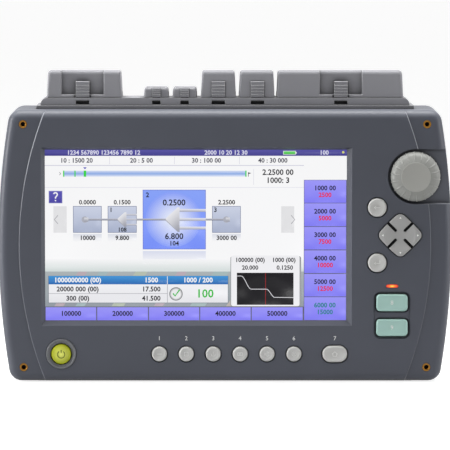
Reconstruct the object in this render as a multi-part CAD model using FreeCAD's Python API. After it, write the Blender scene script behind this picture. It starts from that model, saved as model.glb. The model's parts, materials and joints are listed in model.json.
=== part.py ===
import FreeCAD, Part
import math
import os

# Portable optical time domain reflectometer, upright on its feet.
# +X is right seen from the front, the front faces -Y, +Z is up.
# The origin lies under the middle of the whole unit, dial included, at the level of the feet.

# ---- case, mm ----
left_border = 25.7
window_width = 184.8
right_column = 59.5
bottom_band = 33.4
window_height = 106.4
top_band = 22.2
front_case_depth = 11.5
rear_case_depth = 49.5
side_bow_radius = 460.0
corner_radius = 8.0
front_round = 5.5
rear_round = 6.0
wall = 2.5
foot_stand = 1.0
crease_step = 0.8
crease_inset = 12.6
crease_radius = 218.0
crease_fade = 0.15

# ---- window and display ----
bevel_left = 2.2
bevel_right = 3.1
bevel_top = 1.5
bevel_bottom = 2.8
bevel_depth = 1.9
panel_overlap = 2.0
panel_thickness = 1.6
display_thickness = 6.4
display_border = 4.0
plate_thickness = 1.2
plate_gap = 0.2

# ---- keys ----
key_gap = 0.45
key_rise = 1.0
key_travel = 1.0
key_flange = 1.1
key_flange_thickness = 0.8
key_flange_gap = 0.2
key_edge = 0.5
stem_half = 2.0
stem_length = 2.6
mat_thickness = 1.6
board_thickness = 1.6
mat_gap = 0.2
small_key_radius = 4.6
menu_key_width = 15.1
menu_key_height = 10.2
power_key_radius = 6.0
ring_radius = 9.0
ring_bore = 6.4
ring_rise = 0.6
round_key_radius = 5.7
long_key_width = 19.2
long_key_height = 10.7
long_key_corner = 2.6
tray_margin = 1.3
tray_depth = 0.8

# ---- places of the keys ----
row_height = 16.5
power_in = 11.7
function_start = -22.2
function_pitch = 16.03
function_count = 6
menu_from_center = 82.3
pad_from_right = 30.8
pad_above_middle = 6.5
round_key_side = 13.7
round_key_spread = 16.5
led_below_pad = 30.4
led_side = 4.7
led_length = 7.4
led_height = 1.9
long_key_side = 4.8
realtime_below_pad = 40.3
start_below_pad = 55.2

# ---- arrow pad ----
pad_reach = 12.4
pad_corner = 4.0
pad_bulge = 0.5
pad_thickness = 2.6
pad_rise = 1.2
pad_gap = 0.6
pad_slot_width = 1.4
pad_slot_inner = 3.3
pad_slot_outer = 12.4
pad_slot_depth = 1.1
dish_radius = 8.9
dish_depth = 0.6
gimbal_size = 5.0
gimbal_thickness = 1.4
gimbal_gap = 0.3

# ---- dial ----
dial_from_right = 21.8
dial_above_pad = 34.9
dial_radius = 15.0
dial_disc_radius = 8.8
dial_rise = 5.2
dial_gap = 1.1
dial_float = 1.0
dial_travel = 0.6
dial_rib_count = 18
dial_rib_width = 1.3
dial_rib_height = 0.5
well_depth = 4.5
shaft_radius = 3.0
running_fit = 0.05
bush_wall = 0.9
encoder_size = 13.0
encoder_depth = 6.5

# ---- corner inserts and case screws ----
insert_from_side = 15.0
insert_from_edge = 8.5
insert_radius = 2.4
insert_bore = 1.25
boss_wall = 2.2
screw_shank = 1.45
screw_end_gap = 0.3
screw_reach = 4.0
screw_head_radius = 2.75
screw_head_height = 2.5
screw_slot = 0.8
screw_seat = 5.0
screw_well_radius = 3.2

# ---- connector rail ----
flange_height = 2.0
flange_front = 1.3
flange_margin = 2.5
rail_set_back = 1.5
rail_height = 4.6
flange_rear = 3.0
rail_end_round = 4.0
rail_margin = 3.7
window_tall = 2.4
window_low = 0.6
catch_wall = 0.9
slot_depth = 3.2
pocket_floor = 0.2
opening_margin = 7.0

# ---- covers: width, gap after, height, latch width, latch shift, recess width, recess shift ----
tall_cover = 16.4
low_cover = 6.2
covers = [
    {"width": 44.8, "gap": 13.2, "height": tall_cover, "latch": 8.0, "shift": -0.95, "recess": 25.1},
    {"width": 14.6, "gap": 2.5, "height": low_cover, "latch": 5.0, "shift": 0.1, "recess": 0.0},
    {"width": 14.4, "gap": 2.4, "height": low_cover, "latch": 5.0, "shift": 0.0, "recess": 0.0},
    {"width": 21.0, "gap": 1.7, "height": tall_cover, "latch": 8.0, "shift": 0.0, "recess": 0.0},
    {"width": 21.3, "gap": 1.3, "height": tall_cover, "latch": 8.0, "shift": 0.5, "recess": 0.0},
    {"width": 75.5, "gap": 0.0, "height": tall_cover, "latch": 8.0, "shift": 0.5, "recess": 25.2},
]
cover_set_back = 0.8
cover_depth = 27.2
cover_wall = 1.6
cover_lift = 0.2
cover_draft = 0.8
cover_round = 2.6
recess_depth = 2.4
recess_lip = 1.7
recess_head = 2.6
recess_scoop = 3.3
grip_width = 2.6
grip_height = 1.0
grip_depth = 0.9
grip_in = 1.9
hinge_behind = 2.5
hinge_margin = 3.5
pin_radius = 0.9
pin_end_gap = 0.2
ear_radius = 1.9
ear_width = 2.4
ear_gap = 0.3
ear_web = 0.6
lug_share = 0.2
trough_clear = 0.5
latch_gap = 0.3
latch_rise = 0.6
latch_thickness = 1.3
latch_share = 0.6
latch_foot = 3.4
latch_inset = 0.3
latch_root = 0.5
latch_swing = 1.1
nose_height = 1.3
nose_depth = 0.5
nose_gap = 0.3
rib_count = 4
rib_height = 0.35
rib_thickness = 0.5

# ---- ports ----
port_body = 10.0
port_fit = 0.2
port_body_depth = 14.0
barrel_radius = 4.0
barrel_height = 9.0
ferrule_radius = 1.25
ferrule_depth = 9.0
socket_wall = 0.8
socket_rise = 0.4
usb_width = 13.6
usb_height = 6.4
usb_tongue = 1.8
usb_spacing = 10.0
device_width = 8.0
device_height = 4.4
card_width = 10.0
card_height = 2.6
lan_width = 15.0
lan_height = 12.0
dc_width = 10.0
dc_bore = 3.1
dc_pin = 1.0
socket_depth = 12.0

# ---- inside ----
board_side = 22.0
board_low = 9.0
board_high = 13.0
board_back = 18.0
standoff_half = 2.5
chips = [
    {"left": 20.0, "up": 60.0, "width": 28.0, "height": 28.0, "rise": 3.0},
    {"left": 176.0, "up": 40.0, "width": 20.0, "height": 20.0, "rise": 2.5},
    {"left": 166.0, "up": 80.0, "width": 36.0, "height": 20.0, "rise": 8.0},
]
module_left = 70.0
module_right = 35.0
module_height = 32.0
module_depth = 18.0

# ---- rear: battery, stand, feet, speaker ----
bay_width = 100.0
bay_height = 66.0
bay_depth = 22.0
bay_low = 24.0
bay_wall = 2.0
door_lip = 3.0
door_thickness = 2.2
door_gap = 0.2
notch_length = 22.0
notch_height = 8.0
notch_depth = 1.0
pack_gap = 0.4
stand_width = 154.0
stand_leg = 10.0
stand_thickness = 5.0
stand_low = 8.0
stand_hinge = 104.0
stand_gap = 0.6
stand_pin_radius = 1.5
stand_pin_grip = 3.0
foot_length = 24.0
foot_width = 10.0
foot_sink = 1.5
foot_chamfer = 1.5
foot_from_side = 34.0
foot_front = 19.0
foot_rear = 11.0
speaker_radius = 12.0
speaker_depth = 5.0
grille_slots = 5
grille_width = 1.8
grille_pitch = 4.0
grille_length = 16.0
speaker_from_side = 26.0
speaker_up = 120.0

# ---- derived places ----
body_width = left_border + window_width + right_column
body_height = bottom_band + window_height + top_band
body_depth = front_case_depth + rear_case_depth
body_bottom = foot_stand
body_top = body_bottom + body_height
middle_height = (body_bottom + body_top) / 2
front_y = (dial_rise - body_depth) / 2
rear_y = front_y + body_depth
parting_y = front_y + front_case_depth
half_width = body_width / 2

window_left = left_border - half_width
window_right = window_left + window_width
window_bottom = body_bottom + bottom_band
window_top = window_bottom + window_height
window_center = (window_left + window_right) / 2
opening_left = window_left + bevel_left
opening_right = window_right - bevel_right
opening_bottom = window_bottom + bevel_bottom
opening_top = window_top - bevel_top

inner_y = front_y + wall
display_y = inner_y + panel_thickness
display_back_y = display_y + display_thickness
plate_y = display_back_y + plate_gap
mat_y = inner_y + key_flange_gap + key_flange_thickness + stem_length + key_travel + mat_gap
key_board_y = mat_y + mat_thickness
main_board_y = front_y + board_back

row_z = body_bottom + row_height
power_x = window_left + power_in
function_xs = [window_center + function_start + n * function_pitch for n in range(function_count)]
menu_x = window_center + menu_from_center
pad_x = half_width - pad_from_right
pad_z = middle_height + pad_above_middle
round_key_x = pad_x - round_key_side
esc_z = pad_z + round_key_spread
enter_z = pad_z - round_key_spread
led_x = pad_x - led_side
led_z = pad_z - led_below_pad
long_key_x = pad_x - long_key_side
realtime_z = pad_z - realtime_below_pad
start_z = pad_z - start_below_pad
dial_x = half_width - dial_from_right
dial_z = pad_z + dial_above_pad
well_radius = dial_radius + dial_gap
well_y = front_y + well_depth
well_back_y = well_y + wall

insert_xs = [insert_from_side - half_width, half_width - insert_from_side]
insert_zs = [body_bottom + insert_from_edge, body_top - insert_from_edge]
boss_radius = insert_radius + boss_wall

flange_y = parting_y + flange_front - 0.8
rail_front_y = flange_y + rail_set_back
rail_depth = cover_set_back + cover_depth + hinge_behind + hinge_margin
rail_rear_y = rail_front_y + rail_depth
flange_rear_y = rail_rear_y + flange_rear
flange_top = body_top + flange_height
rail_top = flange_top + rail_height
rail_length = 2 * rail_margin + sum(c["width"] + c["gap"] for c in covers)
rail_half = rail_length / 2
cover_front_y = rail_front_y + cover_set_back
cover_rear_y = cover_front_y + cover_depth
hinge_y = cover_rear_y + hinge_behind
hinge_z = rail_top
ear_flat = ear_radius * (math.sqrt(2) - 1)
trough_y = hinge_y - ear_radius - trough_clear
trough_z = hinge_z - ear_radius - trough_clear
slot_y = rail_front_y + catch_wall
latch_y = slot_y + nose_gap + nose_depth

bay_bottom = body_bottom + bay_low
bay_top = bay_bottom + bay_height
bay_y = rear_y - bay_depth
stand_outer = stand_width / 2
stand_bottom = body_bottom + stand_low
stand_hinge_z = body_bottom + stand_hinge
stand_y = rear_y - 0.5 - stand_thickness
stand_hinge_y = stand_y + stand_thickness / 2


# ---- plain solids ----
def block(x0, x1, y0, y1, z0, z1):
    return Part.makeBox(x1 - x0, y1 - y0, z1 - z0, FreeCAD.Vector(x0, y0, z0))


def rod(axis, center, radius, length):
    return Part.makeCylinder(radius, length, FreeCAD.Vector(*center), FreeCAD.Vector(*axis))


def rod_y(x, z, radius, y0, y1):
    return rod((0, 1, 0), (x, y0, z), radius, y1 - y0)


def rod_z(x, y, radius, z0, z1):
    return rod((0, 0, 1), (x, y, z0), radius, z1 - z0)


def rod_x(y, z, radius, x0, x1):
    return rod((1, 0, 0), (x0, y, z), radius, x1 - x0)


def edges_along(shape, axis):
    """Straight edges of a shape that run along one axis, 0 for X, 1 for Y, 2 for Z."""
    found = []
    for edge in shape.Edges:
        if edge.Curve.TypeId != "Part::GeomLine":
            continue
        run = edge.Vertexes[-1].Point - edge.Vertexes[0].Point
        if abs(abs(run[axis]) - run.Length) < 1e-6:
            found.append(edge)
    return found


def edges_at_y(shape, y):
    """Edges of a shape that lie wholly in the plane of one Y."""
    found = []
    for edge in shape.Edges:
        span = edge.BoundBox
        if abs(span.YMin - y) < 1e-4 and abs(span.YMax - y) < 1e-4:
            found.append(edge)
    return found


def rounded_block_y(x0, x1, y0, y1, z0, z1, radius):
    """A block along Y whose four long edges are rounded."""
    solid = block(x0, x1, y0, y1, z0, z1)
    return solid.makeFillet(radius, edges_along(solid, 1))


def pill_y(x, z, length, height, y0, y1):
    """A bar along Y with a section that has half-round ends."""
    radius = height / 2
    reach = length / 2 - radius
    bar = block(x - reach, x + reach, y0, y1, z - radius, z + radius)
    ends = [rod_y(x - reach, z, radius, y0, y1), rod_y(x + reach, z, radius, y0, y1)]
    return bar.multiFuse(ends).removeSplitter()


def prism_y(wire, y0, y1):
    """A wire drawn at Y = 0, pushed from y0 to y1."""
    face = Part.Face(wire)
    face.translate(FreeCAD.Vector(0, y0, 0))
    return face.extrude(FreeCAD.Vector(0, y1 - y0, 0))


def prism_x(points, x0, x1):
    """A polygon of (y, z) points, pushed from x0 to x1."""
    corners = [FreeCAD.Vector(x0, y, z) for y, z in points]
    face = Part.Face(Part.makePolygon(corners + corners[:1]))
    return face.extrude(FreeCAD.Vector(x1 - x0, 0, 0))


def bowed_wire(half, low, high, bow):
    """An upright outline whose left and right sides are arcs that bow outwards."""
    middle = (low + high) / 2
    sag = bow - math.sqrt(bow ** 2 - ((high - low) / 2) ** 2)
    corner = half - sag
    left_low = FreeCAD.Vector(-corner, 0, low)
    left_high = FreeCAD.Vector(-corner, 0, high)
    right_low = FreeCAD.Vector(corner, 0, low)
    right_high = FreeCAD.Vector(corner, 0, high)
    return Part.Wire([
        Part.makeLine(left_low, right_low),
        Part.Arc(right_low, FreeCAD.Vector(half, 0, middle), right_high).toShape(),
        Part.makeLine(right_high, left_high),
        Part.Arc(left_high, FreeCAD.Vector(-half, 0, middle), left_low).toShape(),
    ])


def case_prism(inset, y0, y1):
    """The case outline, drawn in by an inset, pushed from y0 to y1."""
    wire = bowed_wire(half_width - inset, body_bottom + inset, body_top - inset, side_bow_radius - inset)
    solid = prism_y(wire, y0, y1)
    return solid.makeFillet(max(corner_radius - inset, 1.0), edges_along(solid, 1))


# ---- openings shared by the front case and what sits in it ----
def pad_wire(grow):
    """The arrow pad's outline: a square on its corner with sides that bulge a little."""
    tip = pad_reach + pad_corner * (math.sqrt(2) - 1) + grow * math.sqrt(2)
    side = tip / 2 + pad_bulge / math.sqrt(2)
    corners = ((1, 0), (0, 1), (-1, 0), (0, -1))
    tips = [FreeCAD.Vector(pad_x + dx * tip, 0, pad_z + dz * tip) for dx, dz in corners]
    edges = []
    for n, (dx, dz) in enumerate(((1, 1), (-1, 1), (-1, -1), (1, -1))):
        middle = FreeCAD.Vector(pad_x + dx * side, 0, pad_z + dz * side)
        edges.append(Part.Arc(tips[n], middle, tips[(n + 1) % 4]).toShape())
    return Part.Wire(edges)


def pad_prism(grow, y0, y1):
    solid = prism_y(pad_wire(grow), y0, y1)
    return solid.makeFillet(pad_corner + grow, edges_along(solid, 1))


def dial_well(grow, y0, y1):
    """The dial's round well, which runs out through the right side as a finger scoop."""
    radius = well_radius + grow
    scoop = block(dial_x, half_width + radius, y0, y1, dial_z - radius, dial_z + radius)
    return rod_y(dial_x, dial_z, radius, y0, y1).fuse(scoop)


def key_tray():
    """The shallow tray that the two long keys share."""
    reach = long_key_width / 2 + tray_margin
    rise = long_key_height / 2 + tray_margin
    radius = long_key_corner + tray_margin
    return rounded_block_y(long_key_x - reach, long_key_x + reach, front_y - 1, front_y + tray_depth,
                           start_z - rise, realtime_z + rise, radius)


def long_key_block(z, grow, y0, y1):
    reach = long_key_width / 2 + grow
    rise = long_key_height / 2 + grow
    return rounded_block_y(long_key_x - reach, long_key_x + reach, y0, y1, z - rise, z + rise,
                           long_key_corner + grow)


def window_cut():
    """The display opening with its four sloping edges."""
    outer = [(window_left, window_bottom), (window_right, window_bottom),
             (window_right, window_top), (window_left, window_top)]
    inner = [(opening_left, opening_bottom), (opening_right, opening_bottom),
             (opening_right, opening_top), (opening_left, opening_top)]
    loops = []
    for points, y in ((outer, front_y - 0.001), (inner, front_y + bevel_depth)):
        corners = [FreeCAD.Vector(x, y, z) for x, z in points]
        loops.append(Part.makePolygon(corners + corners[:1]))
    slope = Part.makeLoft(loops, True, True)
    hole = block(opening_left, opening_right, front_y + bevel_depth - 0.1, inner_y + 1,
                 opening_bottom, opening_top)
    return slope.fuse(hole)


def key_holes():
    """Everything that the front wall is pierced by, right through."""
    y0 = front_y - 1
    y1 = well_back_y + 1
    holes = [rod_y(x, row_z, small_key_radius + key_gap, y0, y1) for x in function_xs]
    holes += [rod_y(round_key_x, z, round_key_radius + key_gap, y0, y1) for z in (esc_z, enter_z)]
    holes.append(pill_y(menu_x, row_z, menu_key_width + 2 * key_gap, menu_key_height + 2 * key_gap, y0, y1))
    holes.append(rod_y(power_x, row_z, ring_radius + running_fit, y0, y1))
    holes.append(pad_prism(pad_gap, y0, y1))
    holes.append(pill_y(led_x, led_z, led_length, led_height, y0, y1))
    holes += [long_key_block(z, key_gap, y0, y1) for z in (realtime_z, start_z)]
    holes.append(rod_y(dial_x, dial_z, shaft_radius + bush_wall + 3 * running_fit, y0, y1))
    return holes


# ---- case ----
def front_case():
    """Bowed front shell: side bands a step below the middle panel, and rounded edges all round."""
    band = case_prism(0, front_y + crease_step, parting_y)
    band = band.makeFillet(front_round, edges_at_y(band, front_y + crease_step))
    panel_wire = bowed_wire(half_width - crease_inset, body_bottom + crease_fade, body_top - crease_fade,
                            crease_radius)
    panel = prism_y(panel_wire, front_y, parting_y - 1)
    ends = [e for e in edges_along(panel, 0) if abs(e.BoundBox.YMin - front_y) < 1e-4]
    panel = panel.makeFillet(front_round, ends)
    shell = band.fuse(panel)
    shell = shell.cut(case_prism(wall, inner_y, parting_y + 1))
    floor_low = inner_y - 0.5
    floor = dial_well(wall, floor_low, well_back_y).common(case_prism(wall / 2, floor_low, well_back_y))
    bosses = [rod_y(x, z, boss_radius, floor_low, parting_y) for x in insert_xs for z in insert_zs]
    shell = shell.multiFuse([floor] + bosses)
    cuts = key_holes() + [window_cut(), key_tray(), dial_well(0, front_y - 5, well_y)]
    cuts += [rod_y(x, z, insert_radius + running_fit, front_y - 1, parting_y + 1)
             for x in insert_xs for z in insert_zs]
    return shell.cut(Part.makeCompound(cuts)).removeSplitter()


def u_groove(grow, y0, y1):
    """The U shape that the tilt stand has: two legs joined by a bar at the bottom."""
    outer = stand_outer + grow
    inner = stand_outer - stand_leg - grow
    top = stand_hinge_z + stand_thickness / 2 + grow
    solid = block(-outer, outer, y0, y1, stand_bottom - grow, top)
    inside = block(-inner, inner, y0 - 1, y1 + 1, stand_bottom + stand_leg + grow, top + 1)
    return solid.cut(inside)


def foot_places():
    side = half_width - foot_from_side
    front = front_y + foot_front
    rear = rear_y - foot_rear
    return [(x, y) for x in (-side, side) for y in (front, rear)]


def rear_case():
    """Deep rear shell with the battery bay, the stand's groove, screw posts and foot pockets."""
    shell = case_prism(0, parting_y, rear_y)
    shell = shell.makeFillet(rear_round, edges_at_y(shell, rear_y))
    shell = shell.cut(case_prism(wall, parting_y - 1, rear_y - wall))
    bay_half = bay_width / 2
    stand_floor = stand_y - stand_gap
    lining = block(-bay_half - bay_wall - door_lip, bay_half + bay_wall + door_lip, rear_y - wall - bay_wall,
                   rear_y - wall + 0.5, bay_bottom - bay_wall - door_lip, bay_top + bay_wall + door_lip)
    bay = block(-bay_half - bay_wall, bay_half + bay_wall, bay_y - bay_wall, rear_y - wall + 0.5,
                bay_bottom - bay_wall, bay_top + bay_wall)
    groove = u_groove(stand_gap + bay_wall, stand_floor - bay_wall, rear_y - wall + 0.5)
    near = stand_outer + stand_gap
    far = near + 2 * stand_pin_grip
    cheeks = [block(x0, x1, stand_floor - bay_wall, rear_y - wall + 0.5, stand_hinge_z - stand_thickness,
                    stand_hinge_z + stand_thickness) for x0, x1 in ((-far, -near), (near, far))]
    reach = boss_radius + 1.0
    posts = [block(x - reach, x + reach, parting_y, rear_y - wall + 0.5, z - reach, z + reach)
             for x in insert_xs for z in insert_zs]
    posts = [post.common(case_prism(wall / 2, parting_y, rear_y)) for post in posts]
    pads = [block(x - foot_length / 2 - wall, x + foot_length / 2 + wall, y - foot_width / 2 - wall,
                  y + foot_width / 2 + wall, body_bottom + wall - 0.5, body_bottom + foot_sink + wall)
            for x, y in foot_places()]
    shell = shell.multiFuse([lining, bay, groove] + cheeks + posts + pads)
    cuts = [block(-bay_half, bay_half, bay_y, rear_y + 1, bay_bottom, bay_top),
            block(-bay_half - door_lip, bay_half + door_lip, rear_y - door_thickness - door_gap, rear_y + 1,
                  bay_bottom - door_lip, bay_top + door_lip),
            u_groove(stand_gap, stand_floor, rear_y + 1)]
    for x in insert_xs:
        for z in insert_zs:
            cuts.append(rod_y(x, z, screw_shank + 0.3, parting_y - 1, rear_y + 1))
            cuts.append(rod_y(x, z, screw_well_radius, parting_y + screw_seat, rear_y + 1))
    for side in (-1, 1):
        x0 = side * (stand_outer - stand_leg / 2)
        x1 = side * (stand_outer + stand_gap + stand_pin_grip)
        bore = stand_pin_radius + running_fit
        cuts.append(rod_x(stand_hinge_y, stand_hinge_z, bore, min(x0, x1), max(x0, x1)))
    cuts += [block(x - foot_length / 2, x + foot_length / 2, y - foot_width / 2, y + foot_width / 2,
                   body_bottom - 1, body_bottom + foot_sink) for x, y in foot_places()]
    cuts.append(block(-rail_half + opening_margin, rail_half - opening_margin, rail_front_y + opening_margin,
                      trough_y - 1, body_top - wall - 1, body_top + 1))
    speaker_x = half_width - speaker_from_side
    for n in range(grille_slots):
        z = body_bottom + speaker_up + (n - (grille_slots - 1) / 2) * grille_pitch
        cuts.append(block(speaker_x - grille_length / 2, speaker_x + grille_length / 2, rear_y - wall - 1,
                          rear_y + 1, z - grille_width / 2, z + grille_width / 2))
    return shell.cut(Part.makeCompound(cuts)).removeSplitter()


def corner_inserts():
    """Four brass sleeves: an M3 thread from the front and a wider one from behind for the case screw."""
    sleeves = []
    for x in insert_xs:
        for z in insert_zs:
            sleeve = rod_y(x, z, insert_radius, front_y + crease_step, parting_y)
            sleeve = sleeve.cut(rod_y(x, z, insert_bore, front_y, parting_y - screw_reach))
            sleeves.append(sleeve.cut(rod_y(x, z, screw_shank + running_fit,
                                            parting_y - screw_reach - screw_end_gap, parting_y + 1)))
    return Part.makeCompound(sleeves)


def case_screws():
    """Four screws that draw the rear case onto the sleeves."""
    screws = []
    for x in insert_xs:
        for z in insert_zs:
            seat = parting_y + screw_seat
            shank = rod_y(x, z, screw_shank, parting_y - screw_reach, seat)
            head = rod_y(x, z, screw_head_radius, seat, seat + screw_head_height)
            slot = block(x - screw_head_radius, x + screw_head_radius, seat + screw_head_height / 2,
                         seat + 2 * screw_head_height, z - screw_slot / 2, z + screw_slot / 2)
            screws.append(shank.fuse(head.cut(slot)).removeSplitter())
    return Part.makeCompound(screws)


# ---- display ----
def touch_panel():
    return block(opening_left - panel_overlap, opening_right + panel_overlap, inner_y, display_y,
                 opening_bottom - panel_overlap, opening_top + panel_overlap)


def display_module():
    return block(opening_left - display_border, opening_right + display_border, display_y, display_back_y,
                 opening_bottom - display_border, opening_top + display_border)


def chassis_plate():
    """Sheet plate behind the display, with four standoffs that carry the main board."""
    x0 = opening_left - display_border
    x1 = opening_right + display_border
    z0 = opening_bottom - display_border
    z1 = opening_top + display_border
    plate = block(x0, x1, plate_y, plate_y + plate_thickness, z0, z1)
    inset = 3 * standoff_half
    legs = [block(x - standoff_half, x + standoff_half, display_back_y, main_board_y,
                  z - standoff_half, z + standoff_half) for x in (x0 + inset, x1 - inset)
            for z in (z0 + inset, z1 - inset)]
    return plate.multiFuse(legs).removeSplitter()


# ---- key board and mat ----
def control_outline(y0, y1, grow):
    """The L shape under the bottom row and the right column, clear of the display and the screw bosses."""
    clear = boss_radius + 1.0
    left = power_x - ring_radius - 2
    right = half_width - insert_from_side + clear
    column = opening_right + display_border + 1.0
    top = dial_z + encoder_size
    low = body_bottom + wall + 1.0
    row_top = opening_bottom - display_border - 1.0
    row = block(left - grow, insert_xs[1] - clear, y0, y1, low, row_top)
    side = block(column, right + grow, y0, y1, insert_zs[0] + clear, top)
    return row.fuse(side).removeSplitter()


def key_mat():
    """Silicone mat that returns the keys, with a low post under the arrow pad."""
    mat = control_outline(mat_y, key_board_y, 0)
    post = rod_y(pad_x, pad_z, gimbal_size / 2, gimbal_back_y() + gimbal_gap, mat_y + 0.1)
    holes = [rod_y(dial_x, dial_z, shaft_radius + bush_wall + 1.0, mat_y - 1, key_board_y + 1),
             block(led_x - led_height, led_x + led_height, mat_y - 1, key_board_y + 1,
                   led_z - led_height, led_z + led_height)]
    return mat.fuse(post).cut(Part.makeCompound(holes)).removeSplitter()


def key_board():
    board = control_outline(key_board_y, key_board_y + board_thickness, 0)
    hole = rod_y(dial_x, dial_z, shaft_radius + bush_wall + 1.0, key_board_y - 1, key_board_y + 5)
    return board.cut(hole)


# ---- keys ----
def with_stem(cap, x, z, half_length):
    """A key cap with the two tabs that keep it in and the square stem that meets the mat."""
    y0, y1 = flange_span()
    reach = half_length + key_flange
    tabs = block(x - reach, x + reach, y0, y1, z - stem_half, z + stem_half)
    stem = block(x - stem_half, x + stem_half, y1 - 0.1, mat_y - key_travel - mat_gap,
                 z - stem_half, z + stem_half)
    return cap.multiFuse([tabs, stem]).removeSplitter()


def flange_span():
    y0 = inner_y + key_flange_gap
    return y0, y0 + key_flange_thickness


def round_key(x, z, radius, rise):
    y1 = flange_span()[1]
    cap = rod_y(x, z, radius, front_y - rise, y1)
    cap = cap.makeChamfer(key_edge, edges_at_y(cap, front_y - rise))
    return with_stem(cap, x, z, radius)


def menu_key():
    y1 = flange_span()[1]
    cap = pill_y(menu_x, row_z, menu_key_width, menu_key_height, front_y - key_rise, y1)
    cap = cap.makeChamfer(key_edge, edges_at_y(cap, front_y - key_rise))
    return with_stem(cap, menu_x, row_z, menu_key_width / 2)


def long_key(z):
    y1 = flange_span()[1]
    cap = long_key_block(z, 0, front_y - key_rise, y1)
    cap = cap.makeChamfer(key_edge, edges_at_y(cap, front_y - key_rise))
    return with_stem(cap, long_key_x, z, long_key_width / 2)


def power_ring():
    """Satin ring round the power key, set in its hole in the front case."""
    ring = rod_y(power_x, row_z, ring_radius, front_y - ring_rise, inner_y)
    ring = ring.makeChamfer(ring_rise / 2, edges_at_y(ring, front_y - ring_rise))
    return ring.cut(rod_y(power_x, row_z, ring_bore, front_y - 2, inner_y + 1))


def led_lens():
    """Pill-shaped lens with a light pipe that reaches the key board."""
    lens = pill_y(led_x, led_z, led_length - 0.1, led_height - 0.1, front_y - 0.2, inner_y)
    reach = led_length / 2 + 0.8
    rise = led_height / 2 + 0.8
    pipe = led_height / 2
    lip = block(led_x - reach, led_x + reach, inner_y, inner_y + 1, led_z - rise, led_z + rise)
    pipe = block(led_x - pipe, led_x + pipe, inner_y + 0.5, key_board_y, led_z - pipe, led_z + pipe)
    return lens.multiFuse([lip, pipe]).removeSplitter()


# ---- arrow pad ----
def pad_back_y():
    return front_y - pad_rise + pad_thickness


def gimbal_y():
    return pad_back_y() + 0.5 + gimbal_gap


def gimbal_back_y():
    return gimbal_y() + gimbal_thickness


def arrow_pad():
    """Diamond rocker with a round dish, four diagonal slots open at the rim, and a short post behind."""
    top = front_y - pad_rise
    pad = pad_prism(0, top, pad_back_y())
    pad = pad.makeChamfer(key_edge, edges_at_y(pad, top))
    sphere = (dish_radius ** 2 + dish_depth ** 2) / (2 * dish_depth)
    dish = Part.makeSphere(sphere, FreeCAD.Vector(pad_x, top + dish_depth - sphere, pad_z))
    cuts = [dish]
    for turn in range(4):
        slot = block(pad_slot_inner, pad_slot_outer, top - 1, top + pad_slot_depth,
                     -pad_slot_width / 2, pad_slot_width / 2)
        slot.rotate(FreeCAD.Vector(0, 0, 0), FreeCAD.Vector(0, 1, 0), 45 + 90 * turn)
        slot.translate(FreeCAD.Vector(pad_x, 0, pad_z))
        cuts.append(slot)
    pad = pad.cut(Part.makeCompound(cuts))
    post = rod_y(pad_x, pad_z, gimbal_size / 2, pad_back_y() - 0.1, gimbal_y() - gimbal_gap)
    return pad.fuse(post).removeSplitter()


def arrow_pad_pivot():
    half = gimbal_size / 2
    return block(pad_x - half, pad_x + half, gimbal_y(), gimbal_back_y(), pad_z - half, pad_z + half)


# ---- dial ----
def turned(points, x, z):
    """A solid turned about an axis along Y from (radius, y) points."""
    corners = [FreeCAD.Vector(r, y, 0) for r, y in points]
    face = Part.Face(Part.makePolygon(corners + corners[:1]))
    solid = face.revolve(FreeCAD.Vector(0, 0, 0), FreeCAD.Vector(0, 1, 0), 360)
    solid.translate(FreeCAD.Vector(x, 0, z))
    return solid


def dial():
    """Turned knob with a flat disc, and ribs that run out over its sloping shoulder."""
    top = front_y - dial_rise
    back = well_y - dial_float
    low = dial_rib_height
    shoulder = dial_rise / 2
    core = turned([(0, top), (dial_disc_radius, top), (dial_disc_radius + low, top + low),
                   (dial_radius - 2.2, top + shoulder), (dial_radius - low, top + shoulder + 2),
                   (dial_radius - low, back), (0, back)], dial_x, dial_z)
    skin = turned([(dial_disc_radius + 0.6, top + low), (dial_radius - 2.8, top + shoulder - 1.3),
                   (dial_radius, top + shoulder + 1.5), (dial_radius, back), (dial_disc_radius, back)],
                  dial_x, dial_z)
    rib_half = dial_rib_width / 2
    ribs = []
    for n in range(dial_rib_count):
        rib = block(dial_disc_radius, dial_radius + 1, top - 1, back + 1, -rib_half, rib_half)
        rib.rotate(FreeCAD.Vector(0, 0, 0), FreeCAD.Vector(0, 1, 0), 360 * n / dial_rib_count)
        rib.translate(FreeCAD.Vector(dial_x, 0, dial_z))
        ribs.append(skin.common(rib))
    bore = rod_y(dial_x, dial_z, shaft_radius + running_fit, top + 2.5, back + 1)
    return core.multiFuse(ribs).cut(bore).removeSplitter()


def encoder_y():
    return key_board_y + board_thickness


def dial_shaft():
    """Shaft from the encoder up into the dial, with room above it for the dial's press."""
    tip = front_y - dial_rise + 2.5 + dial_travel + 0.3
    return rod_y(dial_x, dial_z, shaft_radius, tip, encoder_y() + 3)


def encoder():
    """Rotary encoder behind the key board, with a bush that carries the shaft."""
    half = encoder_size / 2
    y0 = encoder_y()
    can = block(dial_x - half, dial_x + half, y0, y0 + encoder_depth, dial_z - half, dial_z + half)
    bush = rod_y(dial_x, dial_z, shaft_radius + bush_wall, well_y + 0.2, y0 + 0.5)
    bore = rod_y(dial_x, dial_z, shaft_radius + running_fit, well_y - 1, y0 + 3 + running_fit)
    return can.fuse(bush).cut(bore).removeSplitter()


# ---- connector rail ----
def cover_left(index):
    before = sum(c["width"] + c["gap"] for c in covers[:index])
    return -rail_half + rail_margin + before


def cover_center(index):
    return cover_left(index) + covers[index]["width"] / 2


def latch_center(index):
    return cover_center(index) + covers[index]["shift"]


def cover_sink(index):
    return recess_depth if covers[index]["recess"] > 0 else 0.0


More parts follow.
